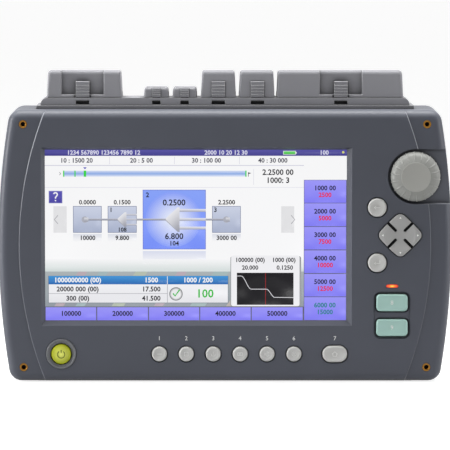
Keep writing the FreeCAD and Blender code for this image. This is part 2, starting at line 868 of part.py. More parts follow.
def lug_spans(index):
    """X spans of the rail's hinge lugs, between the cover's two ears."""
    lug_width = covers[index]["width"] * lug_share
    left = cover_left(index) + ear_width + ear_gap
    right = cover_left(index) + covers[index]["width"] - ear_width - ear_gap
    return [(left, left + lug_width), (right - lug_width, right)]


def hinge_ear(x0, x1, low):
    """An eight-sided hinge lug round the pin's axis, standing on a foot."""
    top = hinge_z + ear_radius
    return prism_x([(hinge_y - ear_radius, low), (hinge_y + ear_radius, low),
                    (hinge_y + ear_radius, hinge_z + ear_flat), (hinge_y + ear_flat, top),
                    (hinge_y - ear_flat, top), (hinge_y - ear_radius, hinge_z + ear_flat)], x0, x1)


def port_holes():
    """Holes through the rail for what stands under each cover."""
    low = body_top - wall - 1
    high = rail_top + 1
    half = port_body / 2 + port_fit
    holes = [block(x - half, x + half, port_y() - half, port_y() + half, low, high) for x in fibre_port_xs()]
    for x, y, wide, deep in socket_places():
        holes.append(block(x - wide / 2 - port_fit, x + wide / 2 + port_fit, y - deep / 2 - port_fit,
                           y + deep / 2 + port_fit, low, high))
    return holes


def connector_rail():
    """Rail with rounded ends on a thin flange, a hinge trough behind and catch windows in front."""
    flange_half = rail_half + flange_margin
    flange = block(-flange_half, flange_half, flange_y, flange_rear_y, body_top, flange_top)
    rail = block(-rail_half, rail_half, rail_front_y, rail_rear_y, flange_top - 0.1, rail_top)
    ends = [e for e in edges_along(rail, 1) if abs(e.BoundBox.ZMin - rail_top) < 1e-4]
    rail = rail.makeFillet(rail_end_round, ends)
    rail = rail.cut(block(-rail_half - 1, rail_half + 1, trough_y, rail_rear_y + 1, trough_z, rail_top + 1))
    lugs = []
    notches = []
    notch_half = pin_radius + running_fit
    for n in range(len(covers)):
        for x0, x1 in lug_spans(n):
            lugs.append(hinge_ear(x0, x1, trough_z - 0.1))
        notches.append(block(cover_left(n), cover_left(n) + covers[n]["width"], hinge_y - notch_half,
                             hinge_y + notch_half, hinge_z - notch_half, hinge_z + ear_radius + 1))
    solid = flange.multiFuse([rail] + lugs)
    cuts = port_holes() + notches
    for n, cover in enumerate(covers):
        x = latch_center(n)
        half = cover["latch"] / 2
        window_z = flange_top + window_low
        cuts.append(block(x - half, x + half, rail_front_y - 1, slot_y + 1, window_z,
                          window_z + window_tall))
        cuts.append(block(x - half - latch_gap, x + half + latch_gap, slot_y, slot_y + slot_depth,
                          flange_top + pocket_floor, rail_top + 1))
    return solid.cut(Part.makeCompound(cuts)).removeSplitter()


def hinge_pins():
    pins = []
    for n, cover in enumerate(covers):
        x0 = cover_left(n) + pin_end_gap
        pins.append(rod_x(hinge_y, hinge_z, pin_radius, x0, cover_left(n) + cover["width"] - pin_end_gap))
    return Part.makeCompound(pins)


def port_cover(index):
    """Drafted cap with a rounded brow, a latch slot, hinge ears and, on the wide ones, a finger recess."""
    cover = covers[index]
    x0 = cover_left(index)
    x1 = x0 + cover["width"]
    z0 = rail_top + cover_lift
    z1 = rail_top + cover["height"]
    draft = cover_draft * cover["height"] / tall_cover
    loops = []
    for z, inset in ((z0, 0.0), (z1, draft)):
        corners = [FreeCAD.Vector(x0 + inset, cover_front_y + inset / 2, z),
                   FreeCAD.Vector(x1 - inset, cover_front_y + inset / 2, z),
                   FreeCAD.Vector(x1 - inset, cover_rear_y, z),
                   FreeCAD.Vector(x0 + inset, cover_rear_y, z)]
        loops.append(Part.makePolygon(corners + corners[:1]))
    cap = Part.makeLoft(loops, True, True)
    near_front = cover_front_y + 1
    brow = [e for e in edges_along(cap, 0) if e.BoundBox.ZMin > z1 - 1e-4 and e.BoundBox.YMax < near_front]
    cap = cap.makeFillet(cover_round * min(1.0, cover["height"] / 12.0), brow)
    front = cover_front_y + cover_sink(index) + cover_wall
    inside = block(x0 + draft + cover_wall, x1 - draft - cover_wall, front, cover_rear_y - cover_wall,
                   z0 - 1, z1 - cover_wall)
    root_y = cover_rear_y - cover_wall / 2
    ears = []
    for ear_x in (x0, x1 - ear_width):
        arm = prism_x([(root_y, z0),
                       (trough_y + ear_gap, z0),
                       (hinge_y - ear_flat, hinge_z - ear_radius),
                       (hinge_y + ear_flat, hinge_z - ear_radius),
                       (hinge_y + ear_radius, hinge_z - ear_flat),
                       (hinge_y + ear_radius, hinge_z + ear_flat),
                       (hinge_y + ear_flat, hinge_z + ear_radius),
                       (hinge_y, hinge_z + ear_radius),
                       (root_y, hinge_z + ear_radius + ear_web)], ear_x, ear_x + ear_width)
        ears.append(arm)
    solid = cap.cut(inside).multiFuse(ears)
    x = latch_center(index)
    half = cover["latch"] / 2 + latch_gap
    latch_top = z0 + cover["height"] * latch_share + latch_gap
    cuts = [block(x - half, x + half, cover_front_y - 2, latch_y + latch_thickness + latch_swing,
                  z0 - 1, latch_top),
            rod_x(hinge_y, hinge_z, pin_radius + running_fit, x0 - 1, x1 + 1)]
    if cover["recess"] > 0:
        wide = cover["recess"] / 2
        deep = cover_front_y + recess_depth
        low = z0 + recess_lip
        high = z1 - recess_head
        scoop = block(x - wide, x + wide, deep - 2 * recess_scoop, deep, low, high)
        ceiling = [e for e in edges_at_y(scoop, deep) if e.BoundBox.ZMin > high - 1e-4]
        cuts.append(scoop.makeFillet(recess_scoop, ceiling))
    if cover["height"] < tall_cover:
        for left in (x0 + grip_in, x1 - grip_in - grip_width):
            cuts.append(block(left, left + grip_width, cover_front_y - grip_depth,
                              cover_front_y + 2 * grip_depth, z1 - grip_height, z1 + grip_height))
    return solid.cut(Part.makeCompound(cuts)).removeSplitter()


def cover_latch(index):
    """Sprung tongue: a ribbed thumb pad in the cover's front, and a nose behind the catch window."""
    cover = covers[index]
    x = latch_center(index)
    half = cover["latch"] / 2
    z0 = rail_top + cover_lift
    top = z0 + cover["height"] * latch_share
    pad_front = cover_front_y - latch_rise
    foot = rail_top - latch_foot
    left = x - half + latch_inset
    right = x + half - latch_inset
    pad = block(x - half, x + half, pad_front, latch_y + latch_root, z0 + latch_inset, top)
    tongue = block(left, right, latch_y, latch_y + latch_thickness, foot, top)
    nose = prism_x([(latch_y + latch_root, foot), (latch_y - nose_depth, foot + nose_height / 2),
                    (latch_y - nose_depth, foot + nose_height), (latch_y + latch_root, foot + nose_height)],
                   left, right)
    ribs = []
    step = (top - z0 - latch_inset) / rib_count
    for n in range(rib_count):
        z = top - step * n - rib_thickness / 2
        ribs.append(block(left, right, pad_front - rib_height, pad_front + rib_height,
                          z - rib_thickness / 2, z + rib_thickness / 2))
    return pad.multiFuse([tongue, nose] + ribs).removeSplitter()


# ---- ports and sockets ----
def port_y():
    return (cover_front_y + recess_depth + cover_rear_y) / 2


def fibre_port_xs():
    """Two under the first cover, then one under the fourth and one under the fifth."""
    first = cover_center(0)
    spread = covers[0]["width"] / 4
    return [first - spread, first + spread, cover_center(3), cover_center(4)]


def usb_places():
    x = cover_center(5) - covers[5]["width"] / 2 + usb_width
    return [(x, port_y() - usb_spacing / 2), (x, port_y() + usb_spacing / 2)]


def lan_place():
    return cover_center(5), port_y()


def dc_place():
    return cover_center(5) + covers[5]["width"] / 2 - dc_width * 1.4, port_y()


def socket_places():
    places = [(x, y, usb_width, usb_height) for x, y in usb_places()]
    places.append((*lan_place(), lan_width, lan_height))
    places.append((*dc_place(), dc_width, dc_width))
    places.append((cover_center(1), port_y(), device_width, device_height))
    places.append((cover_center(2), port_y(), card_width, card_height))
    return places


def fibre_port(x):
    """Optical port: a square body in the rail and a round barrel with a ferrule bore."""
    half = port_body / 2
    y = port_y()
    body = block(x - half, x + half, y - half, y + half, rail_top - port_body_depth, rail_top)
    barrel = rod_z(x, y, barrel_radius, rail_top - 0.1, rail_top + barrel_height)
    tip = rail_top + barrel_height
    bore = rod_z(x, y, ferrule_radius, tip - ferrule_depth, tip + 1)
    return body.fuse(barrel).cut(bore).removeSplitter()


def socket_shell(x, y, wide, deep):
    """An open-topped socket with a thin wall, standing a little above the rail."""
    top = rail_top + socket_rise
    shell = block(x - wide / 2, x + wide / 2, y - deep / 2, y + deep / 2, top - socket_depth, top)
    inside = block(x - wide / 2 + socket_wall, x + wide / 2 - socket_wall, y - deep / 2 + socket_wall,
                   y + deep / 2 - socket_wall, top - socket_depth + 2, top + 1)
    return shell.cut(inside)


def usb_sockets():
    sockets = []
    for x, y in usb_places():
        shell = socket_shell(x, y, usb_width, usb_height)
        base = rail_top + socket_rise - socket_depth
        reach = usb_width / 2 - socket_wall - 0.6
        tongue = block(x - reach, x + reach, y + 0.2, y + 0.2 + usb_tongue, base + 1,
                       base + socket_depth - 1)
        sockets.append(shell.fuse(tongue).removeSplitter())
    return Part.makeCompound(sockets)


def lan_socket():
    return socket_shell(*lan_place(), lan_width, lan_height)


def device_socket():
    return socket_shell(cover_center(1), port_y(), device_width, device_height)


def card_slot():
    return socket_shell(cover_center(2), port_y(), card_width, card_height)


def dc_inlet():
    """Barrel inlet with its centre pin."""
    x, y = dc_place()
    half = dc_width / 2
    top = rail_top + socket_rise
    base = top - socket_depth
    body = block(x - half, x + half, y - half, y + half, base, top)
    body = body.cut(rod_z(x, y, dc_bore, base + 2, top + 1))
    return body.fuse(rod_z(x, y, dc_pin, base + 1, top - 1)).removeSplitter()


# ---- inside ----
def main_board():
    """Main circuit board, with a few large parts on its rear face."""
    x0 = board_side - half_width
    x1 = half_width - board_side
    z0 = body_bottom + board_low
    z1 = body_top - board_high
    y1 = main_board_y + board_thickness
    board = block(x0, x1, main_board_y, y1, z0, z1)
    raised = [block(x0 + c["left"], x0 + c["left"] + c["width"], y1 - 0.1, y1 + c["rise"],
                    z0 + c["up"], z0 + c["up"] + c["height"]) for c in chips]
    return board.multiFuse(raised).removeSplitter()


def optical_module():
    """Sealed optical unit, right under the optical ports."""
    top = rail_top - port_body_depth
    y = port_y()
    half = module_depth / 2
    return block(-module_left, module_right, y - half, y + half, top - module_height, top)


def battery_pack():
    half = bay_width / 2 - pack_gap
    return block(-half, half, bay_y, rear_y - door_thickness - 2 * door_gap, bay_bottom + pack_gap,
                 bay_top - pack_gap)


def battery_door():
    """Flush door with two snap tabs and a finger notch."""
    half = bay_width / 2 + door_lip - door_gap
    y0 = rear_y - door_thickness
    door = rounded_block_y(-half, half, y0, rear_y, bay_bottom - door_lip + door_gap,
                           bay_top + door_lip - door_gap, 1.5)
    notch = pill_y(0, bay_top - notch_height / 2, notch_length, notch_height, rear_y - notch_depth,
                   rear_y + 1)
    return door.cut(notch)


def tilt_stand():
    """U-shaped stand: two legs, a foot bar, and round ends at the hinge."""
    y0 = stand_y
    y1 = stand_y + stand_thickness
    inner = stand_outer - stand_leg
    bar = block(-stand_outer, stand_outer, y0, y1, stand_bottom, stand_bottom + stand_leg)
    pieces = []
    for x0, x1 in ((-stand_outer, -inner), (inner, stand_outer)):
        pieces.append(block(x0, x1, y0, y1, stand_bottom, stand_hinge_z))
        pieces.append(rod_x(stand_hinge_y, stand_hinge_z, stand_thickness / 2, x0, x1))
    stand = bar.multiFuse(pieces).removeSplitter()
    bores = [rod_x(stand_hinge_y, stand_hinge_z, stand_pin_radius + running_fit, x0, x1)
             for x0, x1 in ((-stand_outer - 1, -stand_outer + stand_leg / 2),
                            (stand_outer - stand_leg / 2, stand_outer + 1))]
    return stand.cut(Part.makeCompound(bores))


def stand_pins():
    pins = []
    for side in (-1, 1):
        x0 = side * (stand_outer - stand_leg / 2 + 0.2)
        x1 = side * (stand_outer + stand_gap + stand_pin_grip - 0.2)
        pins.append(rod_x(stand_hinge_y, stand_hinge_z, stand_pin_radius, min(x0, x1), max(x0, x1)))
    return Part.makeCompound(pins)


def rubber_feet():
    feet = []
    for x, y in foot_places():
        foot = block(x - foot_length / 2 + 0.1, x + foot_length / 2 - 0.1, y - foot_width / 2 + 0.1,
                     y + foot_width / 2 - 0.1, 0, body_bottom + foot_sink)
        feet.append(foot.makeChamfer(foot_chamfer, edges_along(foot, 2)))
    return Part.makeCompound(feet)


def speaker():
    x = half_width - speaker_from_side
    z = body_bottom + speaker_up
    can = rod_y(x, z, speaker_radius, rear_y - wall - speaker_depth, rear_y - wall)
    return can.fuse(rod_y(x, z, speaker_radius * 0.6, rear_y - wall - speaker_depth - 3, rear_y - wall - 1))


# ---- nodes ----
def all_nodes():
    nodes = {
        "front_case": front_case(),
        "rear_case": rear_case(),
        "corner_inserts": corner_inserts(),
        "case_screws": case_screws(),
        "touch_panel": touch_panel(),
        "display_module": display_module(),
        "chassis_plate": chassis_plate(),
        "key_mat": key_mat(),
        "key_board": key_board(),
        "power_ring": power_ring(),
        "power_key": round_key(power_x, row_z, power_key_radius, key_rise),
        "esc_key": round_key(round_key_x, esc_z, round_key_radius, key_rise),
        "enter_key": round_key(round_key_x, enter_z, round_key_radius, key_rise),
        "menu_key": menu_key(),
        "realtime_key": long_key(realtime_z),
        "start_key": long_key(start_z),
        "led_lens": led_lens(),
        "arrow_pad": arrow_pad(),
        "arrow_pad_pivot": arrow_pad_pivot(),
        "dial": dial(),
        "dial_shaft": dial_shaft(),
        "encoder": encoder(),
        "connector_rail": connector_rail(),
        "hinge_pins": hinge_pins(),
        "usb_sockets": usb_sockets(),
        "lan_socket": lan_socket(),
        "device_socket": device_socket(),
        "card_slot": card_slot(),
        "dc_inlet": dc_inlet(),
        "main_board": main_board(),
        "optical_module": optical_module(),
        "battery_pack": battery_pack(),
        "battery_door": battery_door(),
        "tilt_stand": tilt_stand(),
        "stand_pins": stand_pins(),
        "rubber_feet": rubber_feet(),
        "speaker": speaker(),
    }
    for n, x in enumerate(function_xs):
        nodes["function_key_%d" % (n + 1)] = round_key(x, row_z, small_key_radius, key_rise)
    for n in range(len(covers)):
        nodes["cover_%d" % (n + 1)] = port_cover(n)
        nodes["latch_%d" % (n + 1)] = cover_latch(n)
    port_names = ["fault_locator_port", "power_meter_port", "otdr_port_1", "otdr_port_2"]
    for name, x in zip(port_names, fibre_port_xs()):
        nodes[name] = fibre_port(x)
    return nodes


os.makedirs("parts", exist_ok=True)
for name, shape in all_nodes().items():
    shape.exportStep("parts/%s.step" % name)
    print(name, len(shape.Solids), round(shape.Volume / 1000, 2))
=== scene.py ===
import json
import math
import bmesh
import bpy
import numpy as np
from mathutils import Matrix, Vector, geometry


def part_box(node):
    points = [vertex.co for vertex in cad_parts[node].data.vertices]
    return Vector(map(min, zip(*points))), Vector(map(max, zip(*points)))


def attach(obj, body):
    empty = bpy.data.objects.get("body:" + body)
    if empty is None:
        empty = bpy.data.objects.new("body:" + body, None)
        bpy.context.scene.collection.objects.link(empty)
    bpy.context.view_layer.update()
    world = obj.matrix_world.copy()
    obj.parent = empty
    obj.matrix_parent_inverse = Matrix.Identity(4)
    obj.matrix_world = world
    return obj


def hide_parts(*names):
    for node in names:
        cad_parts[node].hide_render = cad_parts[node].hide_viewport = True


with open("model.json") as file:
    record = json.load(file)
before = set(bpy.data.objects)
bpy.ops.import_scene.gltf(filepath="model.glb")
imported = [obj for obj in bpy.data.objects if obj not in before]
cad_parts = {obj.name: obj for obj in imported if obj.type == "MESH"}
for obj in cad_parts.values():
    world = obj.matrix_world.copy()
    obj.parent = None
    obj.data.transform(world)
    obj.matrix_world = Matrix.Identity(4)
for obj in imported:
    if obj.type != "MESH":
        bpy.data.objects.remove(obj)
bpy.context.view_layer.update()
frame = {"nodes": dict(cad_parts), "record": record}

# Fibre tester: front shell, keys, dial, display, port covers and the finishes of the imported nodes.
# Lengths below are millimetres; a mesh is scaled to metres when it is made.
milli = 0.001
fullTurn = 2 * math.pi


def span(node):
    # lowest and highest corner of a node, in mm
    low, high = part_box(node)
    return np.array(low) / milli, np.array(high) / milli


def middle(node):
    # mean of the two corners
    low, high = span(node)
    return (low + high) / 2


# outlines: each column is a base point and a unit normal, and an offset moves it along the normal
def turned(cx, cz, radius, angles):
    # points of a circle and their unit normals: center plus radius times the normal
    normal = np.stack([np.cos(angles), np.sin(angles)], 1)
    return np.array([cx, cz]) + radius * normal, normal


def joined(bits):
    # outlines set end to end
    return tuple(np.concatenate(part) for part in zip(*bits))


def arcOutline(arcs):
    # joins arcs (center x, center z, radius, start angle, end angle, columns) into one closed outline
    return joined([turned(*arc[:3], np.linspace(*arc[3:])) for arc in arcs])


def circleOutline(cx, cz, radius, columns):
    # points at even angles, the first along +X
    return turned(cx, cz, radius, np.arange(columns) * fullTurn / columns)


def boxOutline(x0, x1, z0, z1, corner, columns):
    # a rectangle with rounded corners: four quarter arcs joined by straight runs
    q = math.pi / 2
    return arcOutline([(x1 - corner, z1 - corner, corner, 0, q, columns),
                       (x0 + corner, z1 - corner, corner, q, 2 * q, columns),
                       (x0 + corner, z0 + corner, corner, 2 * q, 3 * q, columns),
                       (x1 - corner, z0 + corner, corner, 3 * q, 4 * q, columns)])


def moved(outline, offset):
    # base plus normal times offset
    return outline[0] + outline[1] * offset


# surfaces: an array of points and an array of triangles or quads
def carried(outline, offsets, depths):
    # a profile of (offset, depth) rows carried round an outline: row k is the outline moved out by
    # offset k and set at depth k along Y; a depth may be one number or one for each column
    rows = []
    for offset, depth in zip(offsets, depths):
        flat = moved(outline, offset)
        rows.append(np.stack([flat[:, 0], np.broadcast_to(depth, len(flat)), flat[:, 1]], 1))
    return gridSurface(np.stack(rows))


def gridSurface(rows, wrap=True):
    # quads between neighbouring rows and columns of an array of points, rows x columns x 3
    r, c = rows.shape[:2]
    index = np.arange(r * c).reshape(r, c)
    right = np.roll(index, -1, axis=1) if wrap else index[:, 1:]
    left = index if wrap else index[:, :-1]
    quads = np.stack([left[:-1], right[:-1], right[1:], left[1:]], -1).reshape(-1, 4)
    return rows.reshape(-1, 3), quads


def closedDome(ring, center, rise, steps):
    # rows that shrink a ring of points to its center: at share s of the way out the depth is the ring's
    # own depth less rise x (1 - s ** 2), a shallow dome
    s = np.linspace(1, 0, steps + 1)[:, None, None]
    middlePoint = np.array([center[0], 0, center[1]])
    rows = middlePoint + (ring[None] - middlePoint) * s
    rows[:, :, 1] = ring[None, :, 1] - rise * (1 - s[:, :, 0] ** 2)
    return gridSurface(rows)


def relief(outer, curves, holes, depthOf, drawn=True):
    # a sheet seen from the front: its outer loop, feature curves and hole loops (where they are drawn) are
    # triangulated in X and Z, holes are cleared, and every vertex takes its depth from a function of X and Z
    points, edges = [], []
    start = 0
    for loop, closed in [(outer, True)] + [(h, True) for h in holes if drawn] + curves:
        n = len(loop)
        points.append(loop)
        k = np.arange(n if closed else n - 1)
        edges.append(np.stack([start + k, start + (k + 1) % n], 1))
        start += n
    flat = np.concatenate(points)
    out = geometry.delaunay_2d_cdt(flat.tolist(), np.concatenate(edges).tolist(), [], 0, 1e-4, False)
    spots = np.array([tuple(v) for v in out[0]])
    tris = np.array([f for f in out[2] if len(f) == 3])
    mid = spots[tris].mean(1)
    keep = withinLoop(mid, outer)
    for hole in holes:
        keep &= ~withinLoop(mid, hole)
    tris = tris[keep]
    a, b, c = spots[tris[:, 0]], spots[tris[:, 1]], spots[tris[:, 2]]
    turn = (b[:, 0] - a[:, 0]) * (c[:, 1] - a[:, 1]) - (b[:, 1] - a[:, 1]) * (c[:, 0] - a[:, 0])
    tris[turn < 0] = tris[turn < 0][:, ::-1]
    tris = tris[np.abs(turn) > 1e-7]
    solid = np.stack([spots[:, 0], depthOf(spots[:, 0], spots[:, 1]), spots[:, 1]], 1)
    return solid, tris


def withinLoop(spots, loop):
    # odd number of crossings of a ray along +X means inside
    x, z = spots[:, :1], spots[:, 1:]
    ax, az = loop[:, 0], loop[:, 1]
    bx, bz = np.roll(ax, -1), np.roll(az, -1)
    crosses = (az > z) != (bz > z)
    reach = ax + (z - az) * (bx - ax) / np.where(bz == az, 1e-9, bz - az)
    return (crosses & (x < reach)).sum(1) % 2 == 1


def rimWalls(points, tris, levels):
    # open borders of a sheet pushed straight back in Y to one level for each border that is wanted
    count = len(points)
    pairs = np.concatenate([tris[:, [0, 1]], tris[:, [1, 2]], tris[:, [2, 0]]])
    key = np.minimum(pairs[:, 0], pairs[:, 1]) * count + np.maximum(pairs[:, 0], pairs[:, 1])
    order, counts = np.unique(key, return_counts=True)
    border = pairs[np.isin(key, order[counts == 1])]
    a, b = points[border[:, 0]], points[border[:, 1]]
    level = levels((a + b) / 2)
    wanted = ~np.isnan(level)
    a, b, level = a[wanted], b[wanted], level[wanted]
    a2, b2 = a.copy(), b.copy()
    a2[:, 1] = level
    b2[:, 1] = level
    n = len(a)
    k = np.arange(n)
    return np.concatenate([a, b, b2, a2]), np.stack([k + n, k, k + 3 * n, k + 2 * n], 1)


def meshFrom(name, surfaces):
    # one mesh of many surfaces; those that follow each other and share their points share them here
    points, loops, sizes, start = [np.zeros((0, 3))], [], [], 0
    for verts, faces in surfaces:
        if verts is not points[-1]:
            start += len(points[-1])
            points.append(verts)
        loops.append((faces + start).ravel())
        sizes.append(np.full(len(faces), faces.shape[1]))
    verts, corner, size = np.concatenate(points) * milli, np.concatenate(loops), np.concatenate(sizes)
    mesh = bpy.data.meshes.new(name)
    mesh.vertices.add(len(verts))
    mesh.vertices.foreach_set("co", verts.astype(np.float32).ravel())
    mesh.loops.add(len(corner))
    mesh.loops.foreach_set("vertex_index", corner.astype(np.int32))
    mesh.polygons.add(len(size))
    mesh.polygons.foreach_set("loop_start", (np.cumsum(size) - size).astype(np.int32))
    mesh.update(calc_edges=True)
    return mesh


def addObject(name, data):
    # a new object in the scene's own collection
    thing = bpy.data.objects.new(name, data)
    bpy.context.scene.collection.objects.link(thing)
    return thing


def buildPiece(name, surfaces, body, finish, replaced=(), sharp=32, weighted=True):
    # joins surfaces into one mesh, merges their seams, takes off slivers left hanging on a shared edge,
    # turns faces outwards and smooths what bends gently
    mesh = meshFrom(name, surfaces)
    mesh.validate()
    work = bmesh.new()
    work.from_mesh(mesh)
    bmesh.ops.remove_doubles(work, verts=work.verts, dist=0.002 * milli)
    bmesh.ops.dissolve_degenerate(work, edges=work.edges, dist=1e-7)
    bmesh.ops.recalc_face_normals(work, faces=work.faces)
    while True:
        hanging = [f for f in work.faces if any(e.is_boundary for e in f.edges) and
                   any(len(e.link_faces) > 2 for e in f.edges)]
        if not hanging:
            break
        bmesh.ops.delete(work, geom=hanging, context="FACES_KEEP_BOUNDARY")
    bmesh.ops.delete(work, geom=[e for e in work.edges if not e.link_faces], context="EDGES")
    openEdges = sum(1 for e in work.edges if not e.is_manifold)
    work.to_mesh(mesh)
    work.free()
    mesh.polygons.foreach_set("use_smooth", np.ones(len(mesh.polygons), bool))
    mesh.set_sharp_from_angle(angle=math.radians(sharp))
    piece = addObject(name, mesh)
    mesh.materials.append(finish)
    if weighted:
        soft = piece.modifiers.new("evenShading", "WEIGHTED_NORMAL")
        soft.keep_sharp = True
    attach(piece, body)
    if replaced:
        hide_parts(*replaced)
    if openEdges:
        print("   open edges in", name, openEdges)
    return piece


def plate(loop, front, back):
    # a flat closed slab: one outline filled at the front and at the back, joined by an edge wall
    sheet, tris = relief(loop, [], [], lambda x, z: np.full(len(x), front))
    rear = sheet.copy()
    rear[:, 1] = back
    n = len(sheet)
    k = np.arange(len(loop))
    nxt = (k + 1) % len(loop)
    walls = np.stack([k, nxt, nxt + n, k + n], 1)
    verts = np.concatenate([sheet, rear])
    return [(verts, np.concatenate([tris, tris[:, ::-1] + n])), (verts, walls)]


def ribbonLoop(points, width):
    # a line of points given a width: each point is moved both ways along the mean normal of its two runs
    points = np.asarray(points, float)
    run = np.diff(points, axis=0)
    run /= np.linalg.norm(run, axis=1)[:, None]
    side = np.stack([-run[:, 1], run[:, 0]], 1)
    mean = np.concatenate([side[:1], side[:-1] + side[1:], side[-1:]])
    mean /= np.linalg.norm(mean, axis=1)[:, None]
    return np.concatenate([points + mean * width / 2, (points - mean * width / 2)[::-1]])


# finishes
def newMaterial(name):
    # a finish with its tree, its shader and its object coordinates
    finish = bpy.data.materials.new(name)
    finish.use_nodes = True
    tree = finish.node_tree
    return finish, tree, tree.nodes["Principled BSDF"], tree.nodes.new("ShaderNodeTexCoord")


def feed(tree, node, inputs):
    # each input is wired to a socket or holds a constant
    for socket, value in inputs.items():
        if isinstance(value, bpy.types.NodeSocket):
            tree.links.new(value, node.inputs[socket])
        else:
            node.inputs[socket].default_value = value


def addNode(tree, kind, inputs=None, **settings):
    # one node of a kind, with its settings and inputs
    node = tree.nodes.new("ShaderNode" + kind)
    for key, value in settings.items():
        setattr(node, key, value)
    feed(tree, node, inputs or {})
    return node


def noiseNode(tree, place, scale, detail):
    # a soft random field of object space
    source = place.outputs["Object"]
    return addNode(tree, "TexNoise", {"Scale": scale, "Detail": detail, "Vector": source}).outputs


def rampNode(tree, source, stops):
    # straight blends between (place, colour) stops
    ramp = addNode(tree, "ValToRGB", {"Fac": source})
    bar = ramp.color_ramp
    while len(bar.elements) < len(stops):
        bar.elements.new(0.5)
    for element, (place, colour) in zip(bar.elements, stops):
        element.position = place
        element.color = (*colour, 1)
    return ramp.outputs["Color"]


def mixColours(tree, share, first, second, blend="MIX"):
    # the first colour at share 0 and the second, or their product, at share 1
    inputs = {"Factor": share, "A": first, "B": second}
    return addNode(tree, "Mix", inputs, data_type="RGBA", blend_type=blend).outputs["Result"]


def spreadRoughness(tree, shader, source, low, high):
    # roughness runs from low to high with a source of 0 to 1
    spread = addNode(tree, "MapRange", {"To Min": low, "To Max": high, "Value": source})
    feed(tree, shader, {"Roughness": spread.outputs["Result"]})


def addBump(tree, shader, height, strength, distance):
    # tips the normal by the slope of a height
    bump = addNode(tree, "Bump", {"Strength": strength, "Distance": distance, "Height": height})
    feed(tree, shader, {"Normal": bump.outputs["Normal"]})
    return bump


def ballShare(tree, place, center, scale):
    # 1 at a center and 0 at the scale's reach along each axis
    inputs = {"Location": center, "Scale": scale, "Vector": place.outputs["Object"]}
    shift = addNode(tree, "Mapping", inputs, vector_type="TEXTURE")
    ball = addNode(tree, "TexGradient", {"Vector": shift.outputs["Vector"]}, gradient_type="SPHERICAL")
    return ball.outputs["Fac"]


def linear(r, g, b):
    # a screen colour of 0 to 255 a channel as the linear value that a shader takes
    c = np.array([r, g, b]) / 255
    return tuple(float(v) for v in np.where(c <= 0.04045, c / 12.92, ((c + 0.055) / 1.055) ** 2.4))


def edgeRound(tree, radius):
    # a normal that turns softly over sharp edges, and a mask that is 1 on them
    soft = addNode(tree, "Bevel", {"Radius": radius}, samples=6).outputs["Normal"]
    true = addNode(tree, "NewGeometry").outputs["Normal"]
    match = addNode(tree, "VectorMath", {0: soft, 1: true}, operation="DOT_PRODUCT")
    mask = addNode(tree, "MapRange", {"From Min": 0.995, "From Max": 0.9, "Value": match.outputs["Value"]})
    return soft, mask.outputs["Result"]


def hollowShade(tree, colour, reach, depth):
    # painted shade: darkens a colour where the near surroundings close in within the reach
    near = addNode(tree, "AmbientOcclusion", {"Distance": reach}, samples=8)
    share = addNode(tree, "MapRange", {"From Min": 0.45, "From Max": 0.97, "To Min": depth, "To Max": 1.0,
                                       "Value": near.outputs["AO"]})
    return mixColours(tree, 1.0, colour, share.outputs["Result"], "MULTIPLY")


def mouldedPlastic(name, colour, rough=0.45, grain=1600, bump=0.25, vary=0.05, sheen=0.35, edge=0.0,
                   edgeHighlight=0.25, hollow=0.0, hollowDepth=0.5, paintedHighlight=None):
    # fine spark-eroded grain as bump, a slow drift of tone, and roughness that follows the grain a little;
    # sharp edges get a painted highlight where an edge radius is given, marked lines take a painted
    # highlight colour, and painted shade darkens the colour where the surroundings close in
    finish, tree, shader, place = newMaterial(name)
    dark = tuple(v * (1 - vary) for v in colour)
    light = tuple(v * (1 + vary) for v in colour)
    tone = rampNode(tree, noiseNode(tree, place, 22, 2)["Fac"], [(0.3, dark), (0.7, light)])
    fine = noiseNode(tree, place, grain, 3)["Fac"]
    if edge:
        # painted highlight: the bevel mask lightens sharp edges towards white by the edgeHighlight share
        softNormal, mask = edgeRound(tree, edge)
        tone = mixColours(tree, mask, tone, (*(v + (1 - v) * edgeHighlight for v in colour), 1))
    # painted highlight on marked lines, by the mesh's share attribute
    if paintedHighlight:
        lines = addNode(tree, "Attribute", attribute_name="paintedHighlight")
        tone = mixColours(tree, lines.outputs["Fac"], tone, (*paintedHighlight, 1))
    # painted shade in gaps, corners and recesses, by ambient occlusion
    if hollow:
        tone = hollowShade(tree, tone, hollow, hollowDepth)
    feed(tree, shader, {"Base Color": tone, "Specular IOR Level": sheen})
    spreadRoughness(tree, shader, fine, rough - 0.05, rough + 0.05)
    grainBump = addBump(tree, shader, fine, bump, 0.00006)
    if edge:
        feed(tree, grainBump, {"Normal": softNormal})
    return finish


def platedMetal(name, colour, rough, stretch):
    # metal with fine turned or brushed lines: noise stretched along one axis drives bump and roughness
    finish, tree, shader, place = newMaterial(name)
    turn = addNode(tree, "Mapping", {"Scale": stretch, "Vector": place.outputs["Object"]}).outputs["Vector"]
    fine = addNode(tree, "TexNoise", {"Scale": 900, "Detail": 4, "Vector": turn}).outputs["Fac"]
    tone = rampNode(tree, fine, [(0.25, tuple(v * 0.86 for v in colour)), (0.75, colour)])
    feed(tree, shader, {"Base Color": tone, "Metallic": 1.0})
    spreadRoughness(tree, shader, fine, rough - 0.06, rough + 0.08)
    addBump(tree, shader, fine, 0.12, 0.00004)
    return finish


def circuitLaminate(name):
    # green solder mask over a faint copper grid
    finish, tree, shader, place = newMaterial(name)
    grid = addNode(tree, "TexBrick", {
        "Scale": 90, "Color1": (0.012, 0.09, 0.035, 1), "Color2": (0.016, 0.115, 0.045, 1),
        "Mortar": (0.03, 0.19, 0.08, 1), "Vector": place.outputs["Object"]})
    feed(tree, shader, {"Base Color": grid.outputs["Color"], "Roughness": 0.35})
    addBump(tree, shader, grid.outputs["Fac"], 0.2, 0.00005)
    return finish


